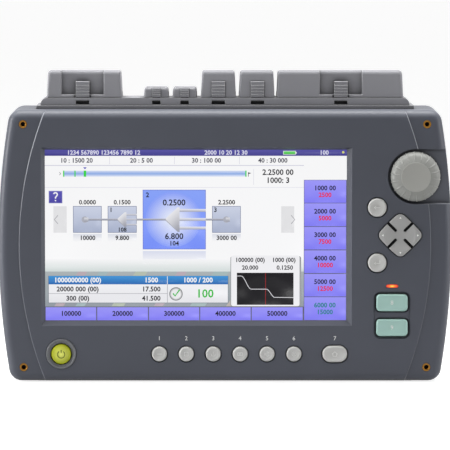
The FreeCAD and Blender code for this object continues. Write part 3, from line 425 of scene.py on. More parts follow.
def litPicture(name):
    # the display's lit colours come from the mesh's own colour attribute, under a glossy front
    finish, tree, shader, place = newMaterial(name)
    paint = addNode(tree, "Attribute", attribute_name="picture")
    dots = noiseNode(tree, place, 2600, 1)["Color"]
    lit = mixColours(tree, 0.04, paint.outputs["Color"], dots, "MULTIPLY")
    feed(tree, shader, {"Emission Color": lit, "Emission Strength": 0.93, "Roughness": 0.35,
                        "Base Color": (0.01, 0.01, 0.012, 1), "Specular IOR Level": 0.12})
    return finish


def glowLens(name, center, reach):
    # an amber lens that is yellow in the middle and red at its ends
    finish, tree, shader, place = newMaterial(name)
    reach = reach * milli
    ball = ballShare(tree, place, tuple(center * milli), (reach, reach, 0.36 * reach))
    glow = rampNode(tree, ball, [(0.0, linear(96, 40, 36)), (0.3, linear(225, 60, 15)),
                                 (0.62, linear(255, 130, 20)), (0.9, linear(255, 225, 60))])
    feed(tree, shader, {"Emission Color": glow, "Emission Strength": 1.0,
                        "Base Color": (*linear(160, 40, 20), 1), "Roughness": 0.2})
    return finish


def roundFace(finish, center, reach, colour, soft=False):
    # another colour inside a circle about an axis along Y; the change is soft, or a step at the reach
    tree = finish.node_tree
    shader, place = tree.nodes["Principled BSDF"], tree.nodes["Texture Coordinate"]
    reach = reach * milli
    share = ballShare(tree, place, (center[0] * milli, 0, center[2] * milli), (reach, 1000, reach))
    if not soft:
        share = addNode(tree, "Math", {0: share, 1: 0.001}, operation="GREATER_THAN").outputs["Value"]
    under = shader.inputs["Base Color"].links[0].from_socket
    feed(tree, shader, {"Base Color": mixColours(tree, share, under, (*linear(*colour), 1))})


# slate: painted shade where gaps and wells close in; its second copy also carries the front shell's painted
# highlights
slate = mouldedPlastic("slatePlastic", linear(74, 77, 87), rough=0.42, hollow=0.0025, hollowDepth=0.3)
slatePaintedHighlight = mouldedPlastic("slatePaintedHighlightPlastic", linear(74, 77, 87), rough=0.42, hollow=0.0025,
                             hollowDepth=0.3, paintedHighlight=linear(190, 193, 200))
# rail grey: painted highlights on sharp edges and painted shade in recesses and gaps
railGrey = mouldedPlastic("railGreyPlastic", linear(149, 149, 154), sheen=0.3, edge=0.0006, edgeHighlight=0.34,
                          hollow=0.005, hollowDepth=0.45)
keyLook = {"rough": 0.4, "grain": 2400, "bump": 0.12, "vary": 0.02}
keyGrey = mouldedPlastic("keyGreyPlastic", linear(206, 206, 203), **keyLook)
padGrey = mouldedPlastic("padGreyPlastic", linear(173, 173, 172), **keyLook)
dialGrey = mouldedPlastic("dialGreyPlastic", linear(147, 148, 144), **{**keyLook, "rough": 0.42})
mint = mouldedPlastic("mintPlastic", linear(175, 212, 203), **{**keyLook, "bump": 0.1})
lime = mouldedPlastic("limePlastic", linear(176, 184, 20), rough=0.3, grain=2400, bump=0.06, vary=0.03,
                      sheen=0.15)
limeMark = mouldedPlastic("limeMark", linear(96, 112, 20), rough=0.4, vary=0.01)
black = mouldedPlastic("blackPlastic", linear(22, 22, 24), rough=0.5, vary=0.1)
# deep black: painted shade where things close in; under the arrow pad it stands in for the shade in the
# slots
deepBlack = mouldedPlastic("deepBlackPlastic", linear(9, 9, 10), rough=0.6, vary=0.1, sheen=0.1,
                           hollow=0.003)
whiteMark = mouldedPlastic("whiteMark", linear(248, 249, 246), rough=0.5, vary=0.01)
# satin ring: painted highlights on sharp edges and painted shade in its groove
ringSatin = mouldedPlastic("satinRing", linear(104, 106, 110), rough=0.3, grain=2400, bump=0.08, vary=0.03,
                           edge=0.0005, edgeHighlight=0.45, hollow=0.002, hollowDepth=0.3)
brass = platedMetal("turnedBrass", linear(132, 94, 42), 0.38, (1, 6, 1))
darkSteel = platedMetal("blackenedSteel", linear(38, 38, 40), 0.5, (1, 5, 1))
steel = platedMetal("platedSteel", linear(190, 192, 196), 0.3, (1, 1, 5))
nickel = platedMetal("nickelPlate", linear(198, 199, 202), 0.24, (1, 1, 6))
sheetMetal = platedMetal("sheetMetal", linear(186, 188, 192), 0.38, (8, 1, 1))
greenBoard = circuitLaminate("greenLaminate")
siliconeGrey = mouldedPlastic("siliconeGrey", linear(120, 120, 122), rough=0.65, vary=0.04, bump=0.3)
rubber = mouldedPlastic("blackRubber", linear(30, 30, 32), rough=0.8, grain=900, bump=0.5, vary=0.12)
print("finishes made")


# floor, light and camera
stageSet = {"floorReach": 30.0, "floorWhite": 0.5, "floorGlow": 0.86, "roomStrength": 0.12,
            "cameraDistance": 2.5, "cameraDown": 4.5, "cameraAim": 0.0946, "lens": 336.5}
# each lamp: place, aim, width, height and watts
lampSet = {"overheadLamp": ((0.0, 0.02, 1.2), (0, 0, 0.12), 1.4, 0.45, 22.0),
           "leftLamp": ((-1.3, -0.16, 0.3), (0, 0, 0.08), 0.35, 0.9, 17.0),
           "rightLamp": ((1.3, -0.16, 0.3), (0, 0, 0.08), 0.35, 0.9, 6.0),
           "frontLamp": ((-0.4, -1.9, 1.2), (0, 0, 0.08), 1.2, 0.9, 5.4)}


def makeFloor():
    # a flat sheet on a grid, far larger than the view
    u = np.linspace(-stageSet["floorReach"], stageSet["floorReach"], 9) / milli
    x, y = np.meshgrid(u, u)
    verts, quads = gridSurface(np.stack([x, y, np.zeros_like(x)], -1), wrap=False)
    mesh = bpy.data.meshes.new("floor")
    mesh.from_pydata((verts * milli).tolist(), [], quads[:, ::-1].tolist())
    floor = addObject("floor", mesh)
    finish, tree, shader, spot = newMaterial("paleFloor")
    white = (stageSet["floorWhite"],) * 3
    slow = noiseNode(tree, spot, 1.5, 1)["Fac"]
    tone = rampNode(tree, slow, [(0.3, tuple(v * 0.995 for v in white)), (0.7, white)])
    feed(tree, shader, {"Base Color": tone, "Roughness": 0.9, "Specular IOR Level": 0.1})
    share = addNode(tree, "Math", {0: whiteRays(tree), 1: stageSet["floorGlow"]}, operation="MULTIPLY")
    glow = addNode(tree, "Emission", {"Strength": share.outputs[0]})
    both = addNode(tree, "AddShader", {0: shader.outputs["BSDF"], 1: glow.outputs["Emission"]})
    feed(tree, tree.nodes["Material Output"], {"Surface": both.outputs["Shader"]})
    mesh.materials.append(finish)


def whiteRays(tree):
    # 1 for what the camera, a gloss or a clear piece sees, else 0
    path = addNode(tree, "LightPath").outputs
    first = addNode(tree, "Math", {0: path["Is Camera Ray"], 1: path["Is Glossy Ray"]}, operation="MAXIMUM")
    both = {0: first.outputs[0], 1: path["Is Transmission Ray"]}
    return addNode(tree, "Math", both, operation="MAXIMUM").outputs[0]


def makeRoom():
    # white to the rays that see it, and a faint light to the others
    world = bpy.data.worlds.new("paleRoom")
    bpy.context.scene.world = world
    world.use_nodes = True
    tree = world.node_tree
    room = tree.nodes["Background"]
    feed(tree, room, {"Color": (1, 1, 1, 1), "Strength": stageSet["roomStrength"]})
    seen = addNode(tree, "Background", {"Color": (1, 1, 1, 1), "Strength": 1.0})
    mix = addNode(tree, "MixShader", {0: whiteRays(tree), 1: room.outputs[0], 2: seen.outputs[0]})
    feed(tree, tree.nodes["World Output"], {"Surface": mix.outputs[0]})


def softLamp(name, spot, aim, width, height, watts):
    # a rectangle whose back points from its aim to its spot
    lamp = bpy.data.lights.new(name, "AREA")
    lamp.shape = "RECTANGLE"
    lamp.size, lamp.size_y, lamp.energy = width, height, watts
    holder = addObject(name, lamp)
    holder.location = spot
    holder.rotation_mode = "QUATERNION"
    holder.rotation_quaternion = Vector(np.subtract(spot, aim).tolist()).to_track_quat("Z", "Y")


def makeCamera():
    # stands off from the front face along a line that looks a little down
    target = np.array([0.0, span("front_case")[0][1] * milli, stageSet["cameraAim"]])
    down = math.radians(stageSet["cameraDown"])
    lens = bpy.data.cameras.new("camera")
    lens.lens, lens.sensor_width = stageSet["lens"], 36.0
    lens.clip_start, lens.clip_end = 0.05, 100
    camera = addObject("camera", lens)
    camera.location = target + stageSet["cameraDistance"] * np.array([0, -math.cos(down), math.sin(down)])
    camera.rotation_euler = (math.pi / 2 - down, 0, 0)
    bpy.context.scene.camera = camera


makeFloor()
makeRoom()
for name, lamp in lampSet.items():
    softLamp(name, *lamp)
makeCamera()
bpy.context.scene.view_settings.view_transform = "Standard"
print("stage made")


# front shell
shellSet = {"round": 5.5, "sideBow": 460.0, "corner": 8.0, "creaseRise": 0.8, "creaseRadius": 218.0,
            "creaseInset": 12.6, "creaseBlend": 0.7, "wall": 2.5, "lip": 0.3, "sheetOffset": -2.0,
            "keyGap": 0.4, "padGap": 0.2, "ringBore": 9.05, "insertHole": 2.45, "wellGap": 1.1,
            "wellDepth": 4.5, "wellRound": 0.5, "wellBack": 7.0, "trayMargin": 1.3, "trayDepth": 0.8,
            "trayBlend": 0.4,
            "bevelLeft": 2.2, "bevelRight": 3.1, "bevelTop": 1.5, "bevelBottom": 2.8, "bevelDepth": 2.25,
            "panelOverlap": 2.0, "bushHole": 4.05, "joint": 0.3, "parting": 11.5, "wellEdge": 0.9,
            "wellWall": (2.2, 2.5), "edgeRows": (-6.3, -5.5, -4.85, -4.2, -3.6, -3.05, -2.5),
            "insertHalf": 2.4, "keyCorner": 2.6, "brimSteps": (-1.2, 1.0, 0.12),
            "crossSteps": (-1.6, 1.2, 0.14)}
shellLow, shellHigh = span("front_case")
shellHalf = shellHigh[0]
shellMid = (shellLow[2] + shellHigh[2]) / 2
shellRise = shellHigh[2] - shellMid
panelFront = shellLow[1]
partingLevel = panelFront + shellSet["parting"]
innerLevel = panelFront + shellSet["wall"]
wellLevel = panelFront + shellSet["wellDepth"]
creaseCenter = shellHalf - shellSet["creaseInset"] - shellSet["creaseRadius"]
cornerZ = shellRise - shellSet["corner"]
cornerX = math.sqrt((shellSet["sideBow"] - shellSet["corner"]) ** 2 - cornerZ ** 2) + shellHalf \
    - shellSet["sideBow"]
sideAngle = math.atan2(cornerZ, cornerX - shellHalf + shellSet["sideBow"])
dialAt, padAt = middle("dial"), middle("arrow_pad")
wellRadius = (span("dial")[1][0] - span("dial")[0][0]) / 2 + shellSet["wellGap"]


def smooth(t):
    # 3 t ** 2 - 2 t ** 3 between 0 and 1, so that both ends are level
    t = np.clip(t, 0, 1)
    return t * t * (3 - 2 * t)


def outlineGap(x, z):
    # signed distance to the case outline, negative inside: the largest of a side arc's and an end line's,
    # or a corner arc's between them
    px, pz = np.abs(x), np.abs(z - shellMid)
    side = np.hypot(px - shellHalf + shellSet["sideBow"], pz) - shellSet["sideBow"]
    vx, vz = px - cornerX, pz - cornerZ
    inCorner = (vx > 0) & (vz > vx * math.tan(sideAngle))
    return np.where(inCorner, np.hypot(vx, vz) - shellSet["corner"], np.maximum(side, pz - shellRise))


def creaseGap(x, z):
    # distance inside the crease arcs, negative in the side bands
    return shellSet["creaseRadius"] - np.hypot(np.abs(x) - creaseCenter, z - shellMid)


def creaseX(inset, z):
    # where the right crease arc, moved in by an inset, stands at a height
    return np.sqrt((shellSet["creaseRadius"] - inset) ** 2 - (z - shellMid) ** 2) + creaseCenter


def circleGap(cx, cz, radius):
    # distance from the center less the radius
    return lambda x, z: np.hypot(x - cx, z - cz) - radius


def boxGap(x0, x1, z0, z1, corner):
    # signed distance to a rectangle with rounded corners
    def gap(x, z):
        # the two sides' distances: their hypotenuse outside a corner, else the larger
        dx = np.abs(x - (x0 + x1) / 2) - (x1 - x0) / 2 + corner
        dz = np.abs(z - (z0 + z1) / 2) - (z1 - z0) / 2 + corner
        return np.hypot(np.maximum(dx, 0), np.maximum(dz, 0)) + np.minimum(np.maximum(dx, dz), 0) - corner
    return gap


# the arrow pad: four shallow arcs round a square on its corner, joined by arcs of the corner radius
padSet = {"reach": 12.4, "corner": 4.0, "bulge": 0.5, "edge": 0.55, "dishRadius": 8.9, "dishDepth": 0.95,
          "slotWidth": 1.2, "slotInner": 3.4, "slotDepth": 1.3, "shrink": 0.25, "arrowAt": 10.3,
          "arrowSize": 0.75, "back": 2.6,
          "rings": (1.5, 3, 4.5, 6, 7.3, 8.3, 8.7, 8.9, 9.25, 10.0, 10.8)}
padTip = padSet["reach"] + padSet["corner"] * (math.sqrt(2) - 1)
padSide = padTip / 2 + padSet["bulge"] / math.sqrt(2)
padBow = ((padTip ** 2) / 2 + padSet["bulge"] ** 2) / (2 * padSet["bulge"])
padArc = padSide - padBow / math.sqrt(2)
padCorner = math.sqrt((padBow - padSet["corner"]) ** 2 - padArc ** 2) + padArc
padTurn = math.atan2(-padArc, padCorner - padArc)


def padOutline(columns=10, sideColumns=5):
    # a corner arc and a wide bow for each quarter turn; a bow starts and ends just clear of its corners
    arcs = []
    for k in range(4):
        turn = k * math.pi / 2
        away, reach = turn + math.pi / 4, padArc * math.sqrt(2)
        arcs.append((padAt[0] + padCorner * math.cos(turn), padAt[2] + padCorner * math.sin(turn),
                     padSet["corner"], turn - padTurn, turn + padTurn, columns))
        arcs.append((padAt[0] + reach * math.cos(away), padAt[2] + reach * math.sin(away), padBow,
                     turn + padTurn + 0.01, turn + math.pi / 2 - padTurn - 0.01, sideColumns))
    return arcOutline(arcs)


def padGap(grow):
    # signed distance to the pad's outline moved out by grow, folded into one eighth of the pad
    def gap(x, z):
        # by the angle about the pad's corner: the corner arc's distance, else the bow's
        px, pz = np.abs(x - padAt[0]), np.abs(z - padAt[2])
        far, near = np.maximum(px, pz), np.minimum(px, pz)
        side = np.hypot(px - padArc, pz - padArc) - padBow
        inCorner = (far > padCorner) & (near < (far - padCorner) * math.tan(padTurn))
        return np.where(inCorner, np.hypot(far - padCorner, near) - padSet["corner"], side) - grow
    return gap


def wellGap(x, z):
    # distance outside the dial's well, whose scoop runs out to the right
    across = np.where(x > dialAt[0], 0, x - dialAt[0])
    return np.hypot(across, z - dialAt[2]) - wellRadius


def wellCurve(gap, reach):
    # the well's edge moved out by a gap: a half circle on the left and two straight runs to the case edge
    a = np.linspace(math.pi / 2, 3 * math.pi / 2, 65)
    r = wellRadius + gap
    half = turned(dialAt[0], dialAt[2], r, a)[0]
    top = [[edgeX(dialAt[2] + r, reach), dialAt[2] + r]]
    low = [[edgeX(dialAt[2] - r, reach), dialAt[2] - r]]
    return np.concatenate([top, half, low])


def edgeX(z, offset):
    # where the right side arc, moved out by an offset, stands at a height
    bow = shellSet["sideBow"]
    return math.sqrt((bow + offset) ** 2 - (z - shellMid) ** 2) + shellHalf - bow


# the well's wall: share of its depth against distance outside its edge
wellTurn = np.linspace(0, math.pi / 2, 5)
lipShare = shellSet["wellRound"] / shellSet["wellDepth"]
wellGaps = np.concatenate([shellSet["wellRound"] * (1 - np.sin(wellTurn)),
                           -0.05 - shellSet["wellRound"] * (1 - np.cos(wellTurn))])
wellShares = np.concatenate([lipShare * (1 - np.cos(wellTurn)), 1 - lipShare * (1 - np.sin(wellTurn))])
creaseSteps = np.linspace(-0.5, 0.5, 7) * shellSet["creaseBlend"]
traySteps = np.array([0.3, 0.0, -0.1, -0.2, -0.3, -0.4])


def roundHole(center, radius, columns):
    # a circle and the distance to it
    return circleOutline(center[0], center[2], radius, columns), circleGap(center[0], center[2], radius)


def keyFeatures():
    # every opening as (outline, signed distance)
    gap, found = shellSet["keyGap"], []
    for node in ["function_key_%d" % n for n in range(1, 7)] + ["esc_key", "enter_key"]:
        low, high = span(node)
        found.append(roundHole(middle(node), (high[2] - low[2]) / 2 + gap, 56))
    found.append(roundHole(middle("power_ring"), shellSet["ringBore"], 72))
    for node in ("menu_key", "realtime_key", "start_key", "led_lens"):
        x0, x1, z0, z1 = capSpan(node)
        grow = gap if node != "led_lens" else 0.05
        corner = shellSet["keyCorner"] if node in ("realtime_key", "start_key") else (z1 - z0) / 2
        box = (x0 - grow, x1 + grow, z0 - grow, z1 + grow, corner + grow)
        found.append((boxOutline(*box, 12), boxGap(*box)))
    outline = padOutline()
    found.append(((moved(outline, shellSet["padGap"]), outline[1]), padGap(shellSet["padGap"])))
    found += [roundHole(center, shellSet["insertHole"], 40) for center in insertCenters()]
    found.append(roundHole(dialAt, shellSet["bushHole"], 32))
    return found


def insertCenters():
    # one insert's half width in from the corners of their common box
    low, high = span("corner_inserts")
    o = shellSet["insertHalf"]
    return [(x, low[1], z) for x in (low[0] + o, high[0] - o) for z in (low[2] + o, high[2] - o)]


keyTab = 1.1  # how far a key's two side tabs reach past its cap
lensLip = 0.85  # how far the lens reaches behind the wall all round


def capSpan(node):
    # X and Z span of a key's cap, without the tabs or the lip behind the wall
    (x0, _, z0), (x1, _, z1) = span(node)
    side, rise = (lensLip, lensLip) if node == "led_lens" else (keyTab, 0)
    return x0 + side, x1 - side, z0 + rise, z1 - rise


def windowSpan():
    # the display's opening: the panel less its overlap all round
    low, high = span("touch_panel")
    o = shellSet["panelOverlap"]
    return low[0] + o, high[0] - o, low[2] + o, high[2] - o


def traySpan():
    # the two mint keys' common hollow, a margin wider than both, and its corner radius
    x0, x1, z0, z1 = capSpan("start_key")
    top = capSpan("realtime_key")[3]
    m = shellSet["trayMargin"]
    return x0 - m, x1 + m, z0 - m, top + m, shellSet["keyCorner"] + m


openings = keyFeatures()
trayGap = boxGap(*traySpan())


def windowShare(x, z):
    # 0 outside the bevel's outer edge, 1 at its inner edge: the least of the four sides' slopes
    x0, x1, z0, z1 = windowSpan()
    s = shellSet
    share = np.minimum(np.minimum((x - x0) / s["bevelLeft"], (x1 - x) / s["bevelRight"]),
                       np.minimum((z1 - z) / s["bevelTop"], (z - z0) / s["bevelBottom"])) + 1
    return np.clip(share, 0, 1)


def frontLevel(x, z):
    # depth of the shell's front face: panel and bands, plus edge round, window bevel, key tray and lips, and
    # the dial's well
    s = shellSet
    blend = s["creaseBlend"]
    y = panelFront + s["creaseRise"] * (1 - smooth(creaseGap(x, z) / blend + 0.5))
    t = np.clip(outlineGap(x, z) + s["round"], 0, s["round"])
    y = y + s["round"] - np.sqrt(s["round"] ** 2 - t ** 2)
    y = y + s["bevelDepth"] * windowShare(x, z)
    y = y + s["trayDepth"] * smooth(-trayGap(x, z) / s["trayBlend"])
    share = np.interp(wellGap(x, z), wellGaps[::-1], wellShares[::-1])
    y = y + np.maximum(wellLevel - y, 0) * share
    for outline, gap in openings:
        lipIn = np.clip(s["lip"] - gap(x, z), 0, s["lip"])
        y = y + s["lip"] - np.sqrt(s["lip"] ** 2 - lipIn ** 2)
    return y


def caseOutline():
    # side arcs, corner arcs and straight ends, with columns where a crease or the scoop crosses the edge
    s = shellSet
    sheet = s["sheetOffset"]
    sideGaps = np.append(wellGaps, s["wellEdge"])
    wanted = [np.linspace(-sideAngle, sideAngle, 41)]
    wallGaps = np.array(s["wellWall"])
    for reach, gaps in ((s["sideBow"] + sheet, sideGaps), (s["sideBow"] - s["wall"], wallGaps)):
        for sign in (-1, 1):
            wanted.append(np.arcsin((dialAt[2] - shellMid + sign * (wellRadius + gaps)) / reach))
    for sign in (-1, 1):
        near = wellRadius + np.arange(*s["brimSteps"])
        wanted.append(np.arcsin((dialAt[2] - shellMid + sign * near) / s["sideBow"]))
    right = np.unique(np.round(np.concatenate(wanted), 7))
    left = np.linspace(-sideAngle, sideAngle, 49)
    bow = s["sideBow"]
    rise = shellRise + sheet
    crossing = creaseX(creaseSteps, shellMid + rise)
    top = np.concatenate([np.linspace(-cornerX, cornerX, 33), crossing, -crossing,
                          *[sign * (crossing.mean() + np.arange(*s["crossSteps"])) for sign in (-1, 1)]])
    top = np.unique(np.round(top, 5))
    quarter = np.linspace(sideAngle, math.pi / 2, 13)[1:-1]

    def line(x, z, up):
        # an end line whose normal points up or down
        return np.stack([x, np.full(len(x), z)], 1), np.tile([0.0, up], (len(x), 1))

    corner, low, high = s["corner"], shellMid - cornerZ, shellMid + cornerZ
    return joined([turned(shellHalf - bow, shellMid, bow, right), turned(cornerX, high, corner, quarter),
                   line(top[::-1], shellHigh[2], 1.0),
                   turned(-cornerX, high, corner, math.pi - quarter[::-1]),
                   turned(bow - shellHalf, shellMid, bow, math.pi + left),
                   turned(-cornerX, low, corner, math.pi + quarter), line(top, shellLow[2], -1.0),
                   turned(cornerX, low, corner, -quarter[::-1])])


def frontShell():
    # the front sheet, walls straight back from its openings, the rounded rim and the inner sheet
    s = shellSet
    outline = caseOutline()
    sheet = s["sheetOffset"]
    outer = moved(outline, sheet)
    curves = [(moved(outline, o), True) for o in s["edgeRows"]]
    for inset in creaseSteps:
        z = np.linspace(shellLow[2] - sheet, shellHigh[2] + sheet, 61)
        x = creaseX(inset, z)
        curves += [(np.stack([side * x, z], 1), False) for side in (-1, 1)]
    curves += [(wellCurve(g, sheet), False) for g in np.append(wellGaps, s["wellEdge"])]
    x0, x1, z0, z1 = windowSpan()
    wx0, wx1, wz0, wz1 = x0 - s["bevelLeft"], x1 + s["bevelRight"], z0 - s["bevelBottom"], z1 + s["bevelTop"]
    window, brim = (np.array([[a, c], [b, c], [b, d], [a, d]])
                    for a, b, c, d in ((x0, x1, z0, z1), (wx0, wx1, wz0, wz1)))
    curves.append((brim, True))
    curves += [(np.stack([a, b]), False) for a, b in zip(window, brim)]
    tx0, tx1, tz0, tz1, corner = traySpan()
    for g in traySteps:
        curves.append((boxOutline(tx0 - g, tx1 + g, tz0 - g, tz1 + g, corner + g, 9)[0], True))
    holes = []
    lipTurns = np.linspace(0, math.pi / 2, 5)[:-1]
    for outline2, gap in openings:
        holes.append(outline2[0])
        curves += [(moved(outline2, s["lip"] * (1 - math.sin(a))), True) for a in lipTurns]
    holes.append(window)
    front, tris = relief(outer, curves, holes, frontLevel)

    backWell = panelFront + s["wellBack"]

    def innerDepth(x, z):
        # the inner face, set back behind the dial's well
        return np.where(wellGap(x, z) < sum(s["wellWall"]) / 2, backWell, innerLevel)

    def level(mid):
        # an opening's wall ends at the inner face; the outer border gets none
        outerSide = outlineGap(mid[:, 0], mid[:, 2]) > sheet - 0.05
        return np.where(outerSide, np.nan, innerDepth(mid[:, 0], mid[:, 2]))

    walls = rimWalls(front, tris, level)
    ends = [(walls[0][quad[[3, 2]]][:, [0, 2]], False) for quad in walls[1]]
    innerRing = moved(outline, -s["wall"])
    curves = [(wellCurve(g, -s["wall"]), False) for g in s["wellWall"]]
    back, backTris = relief(innerRing, curves + ends, holes, innerDepth, drawn=False)
    turns = np.linspace(math.asin((s["round"] + sheet) / s["round"]), math.pi / 2, 8)
    offsets = list(s["round"] * (np.sin(turns) - 1))
    offsets[0] = sheet
    rows = [frontLevel(*moved(outline, o).T) for o in offsets]
    rows += [partingLevel - s["joint"], partingLevel, partingLevel, innerDepth(*innerRing.T)]
    offsets += [0.0, -s["joint"], -s["wall"], -s["wall"]]
    rim = carried(outline, offsets, rows)
    return [(front, tris), walls, rim, (back, backTris)]


highlightSet = {"line": 0.36, "least": 0.22, "rise": 0.6, "reach": 30, "pocket": 0.07, "brim": 0.25, "crest": 0.13}


def paintHighlights(mesh):
    # painted highlights on the crease lines: a share that falls from 1 on the line to 0 at the blend's ends,
    # more towards the top; the well's floor, its lower brim and the shell's crest get a weaker painted
    # highlight
    r = highlightSet
    flat = np.zeros(len(mesh.vertices) * 3, np.float32)
    mesh.vertices.foreach_get("co", flat)
    x, y, z = flat.reshape(-1, 3).T / milli
    share = np.clip(1.1 - np.abs(creaseGap(x, z)) / (shellSet["creaseBlend"] * r["line"]), 0, 1)
    share = share * (r["least"] + r["rise"] * smooth((z - dialAt[2] + r["reach"]) / (2 * r["reach"])))
    share = np.where((y < innerLevel - 0.3) & (wellGap(x, z) > 0.2), share, 0.0)
    pocket = r["pocket"] * smooth(-wellGap(x, z) / 1.5)
    brim = r["brim"] * ((wellGap(x, z) > -0.1) & (wellGap(x, z) < 0.45) & (z < dialAt[2]) & (x > dialAt[0]))
    share = np.where(y < wellLevel + 0.1, np.maximum(share, np.maximum(pocket, brim)), share)
    crest = r["crest"] * smooth((z - shellHigh[2] + 4.6) / 2.4)
    share = np.where(y < partingLevel + 0.1, np.maximum(share, crest), share)
    lines = mesh.attributes.new("paintedHighlight", "FLOAT", "POINT")
    lines.data.foreach_set("value", share.astype(np.float32))


shell = buildPiece("frontShell", frontShell(), "case", slatePaintedHighlight, ["front_case"], sharp=28)
paintHighlights(shell.data)
print("front shell made", len(shell.data.polygons), "faces")


# keys
# glow is the colour of the painted highlight in the middle of the power key
keySet = {"back": 3.5, "columns": 56, "glow": (252, 255, 130)}
# each cap: piece, finish, slot, depth of its dish, radius of its edge and inset
keyKinds = {"function_key_%d" % n: ("functionKey%d" % n, keyGrey, "key_plastic", 0.6, 1.1, 0.15)
            for n in range(1, 7)}
keyKinds.update({"esc_key": ("escapeKey", keyGrey, "key_plastic", 0.8, 1.1, 0.2),
                 "enter_key": ("enterKey", keyGrey, "key_plastic", 0.8, 1.1, 0.2),
                 "power_key": ("powerKey", lime, "power_key_plastic", -0.5, 1.1, 0.0),
                 "menu_key": ("menuKey", keyGrey, "key_plastic", 0.7, 1.1, 0.2),
                 "realtime_key": ("upperMintKey", mint, "mint_plastic", 0.2, 0.9, 0.3),
                 "start_key": ("lowerMintKey", mint, "mint_plastic", 0.2, 0.9, 0.3)})


def keyCap(node):
    # side wall, a quarter round edge and a shallow dish, or a dome where the dish is below 0
    name, finish, slot, dish, edge, inset = keyKinds[node]
    (_, front, low), (_, _, high) = span(node)
    center, reach = middle(node)[[0, 2]], (high - low) / 2
    if node == "menu_key":
        outline = boxOutline(*capSpan(node), reach, 16)
    elif slot == "mint_plastic":
        outline = boxOutline(*capSpan(node), shellSet["keyCorner"], 10)
    else:
        outline = circleOutline(*center, reach, keySet["columns"])
    a = np.linspace(math.pi / 2, 0, 6)
    offsets = np.concatenate([[0.0], edge * (np.sin(a) - 1)]) - inset
    depths = np.concatenate([[panelFront + keySet["back"]], front + max(-dish, 0) + edge * (1 - np.cos(a))])
    side = carried(outline, offsets, depths)
    ring = side[0].reshape(len(offsets), -1, 3)
    top, rear = closedDome(ring[-1], center, -dish, 8), closedDome(ring[0], center, 0.0, 1)
    buildPiece(name, [side, top, rear], node, finish, [node])


def slotGap(x, z):
    # distance to the nearest of the pad's four slots, each a bar from its round inner end out past the rim
    s = padSet
    start = s["slotInner"] + s["slotWidth"] / 2
    gaps = []
    for turn in range(4):
        a = math.pi / 4 + turn * math.pi / 2
        along = (x - padAt[0]) * math.cos(a) + (z - padAt[2]) * math.sin(a)
        side = (z - padAt[2]) * math.cos(a) - (x - padAt[0]) * math.sin(a)
        gaps.append(np.hypot(np.maximum(start - along, 0), side) - s["slotWidth"] / 2)
    return np.min(gaps, axis=0)


def petalOutline(inset):
    # the pad's outline with its slots cut in from the rim and every edge moved in by one inset: a petal's
    # rim runs from slot to slot, then the line follows the slot's side in, round its end and out again
    s = padSet
    half = s["slotWidth"] / 2 + inset
    rim = moved(padOutline(12, 61), -inset) - padAt[[0, 2]]
    rim = rim[(rim[:, 0] > 0) & (np.abs(rim[:, 1]) < rim[:, 0])]
    rim = rim[np.argsort(np.arctan2(rim[:, 1], rim[:, 0]))]
    upper = (rim[:, 0] - rim[:, 1]) / math.sqrt(2)
    lower = (rim[:, 0] + rim[:, 1]) / math.sqrt(2)
    run = np.concatenate([[0], np.cumsum(np.linalg.norm(np.diff(rim, axis=0), axis=1))])
    k = int(np.flatnonzero(lower < half)[-1])
    first = run[k] + (half - lower[k]) / (lower[k + 1] - lower[k]) * (run[k + 1] - run[k])
    k = int(np.flatnonzero(upper < half)[0])
    last = run[k - 1] + (upper[k - 1] - half) / (upper[k - 1] - upper[k]) * (run[k] - run[k - 1])
    at = np.linspace(first, last, 25)
    petal = np.stack([np.interp(at, run, rim[:, 0]), np.interp(at, run, rim[:, 1])], 1)
    u, v = np.array([1, 1]) / math.sqrt(2), np.array([-1, 1]) / math.sqrt(2)
    t = np.linspace(0, math.pi, 9)[:, None]
    end = u * (s["slotInner"] + s["slotWidth"] / 2) - v * half * np.cos(t) - u * half * np.sin(t)
    quarter = np.concatenate([petal, end])
    loop = []
    for turn in range(4):
        c, n = round(math.cos(turn * math.pi / 2)), round(math.sin(turn * math.pi / 2))
        loop.append(quarter @ np.array([[c, n], [-n, c]]))
    return np.concatenate(loop) + padAt[[0, 2]]


def runsWhere(points, keep):
    # the stretches of a closed curve whose points are kept, from a point that isn't
    start = int(np.argmin(keep)) if not keep.all() else 0
    points, keep = np.roll(points, -start, axis=0), np.roll(keep, -start)
    cuts = np.flatnonzero(np.diff(keep.astype(int))) + 1
    runs = zip(np.split(points, cuts), np.split(keep, cuts))
    return [(run, False) for run, kept in runs if kept[0] and len(run) > 1]


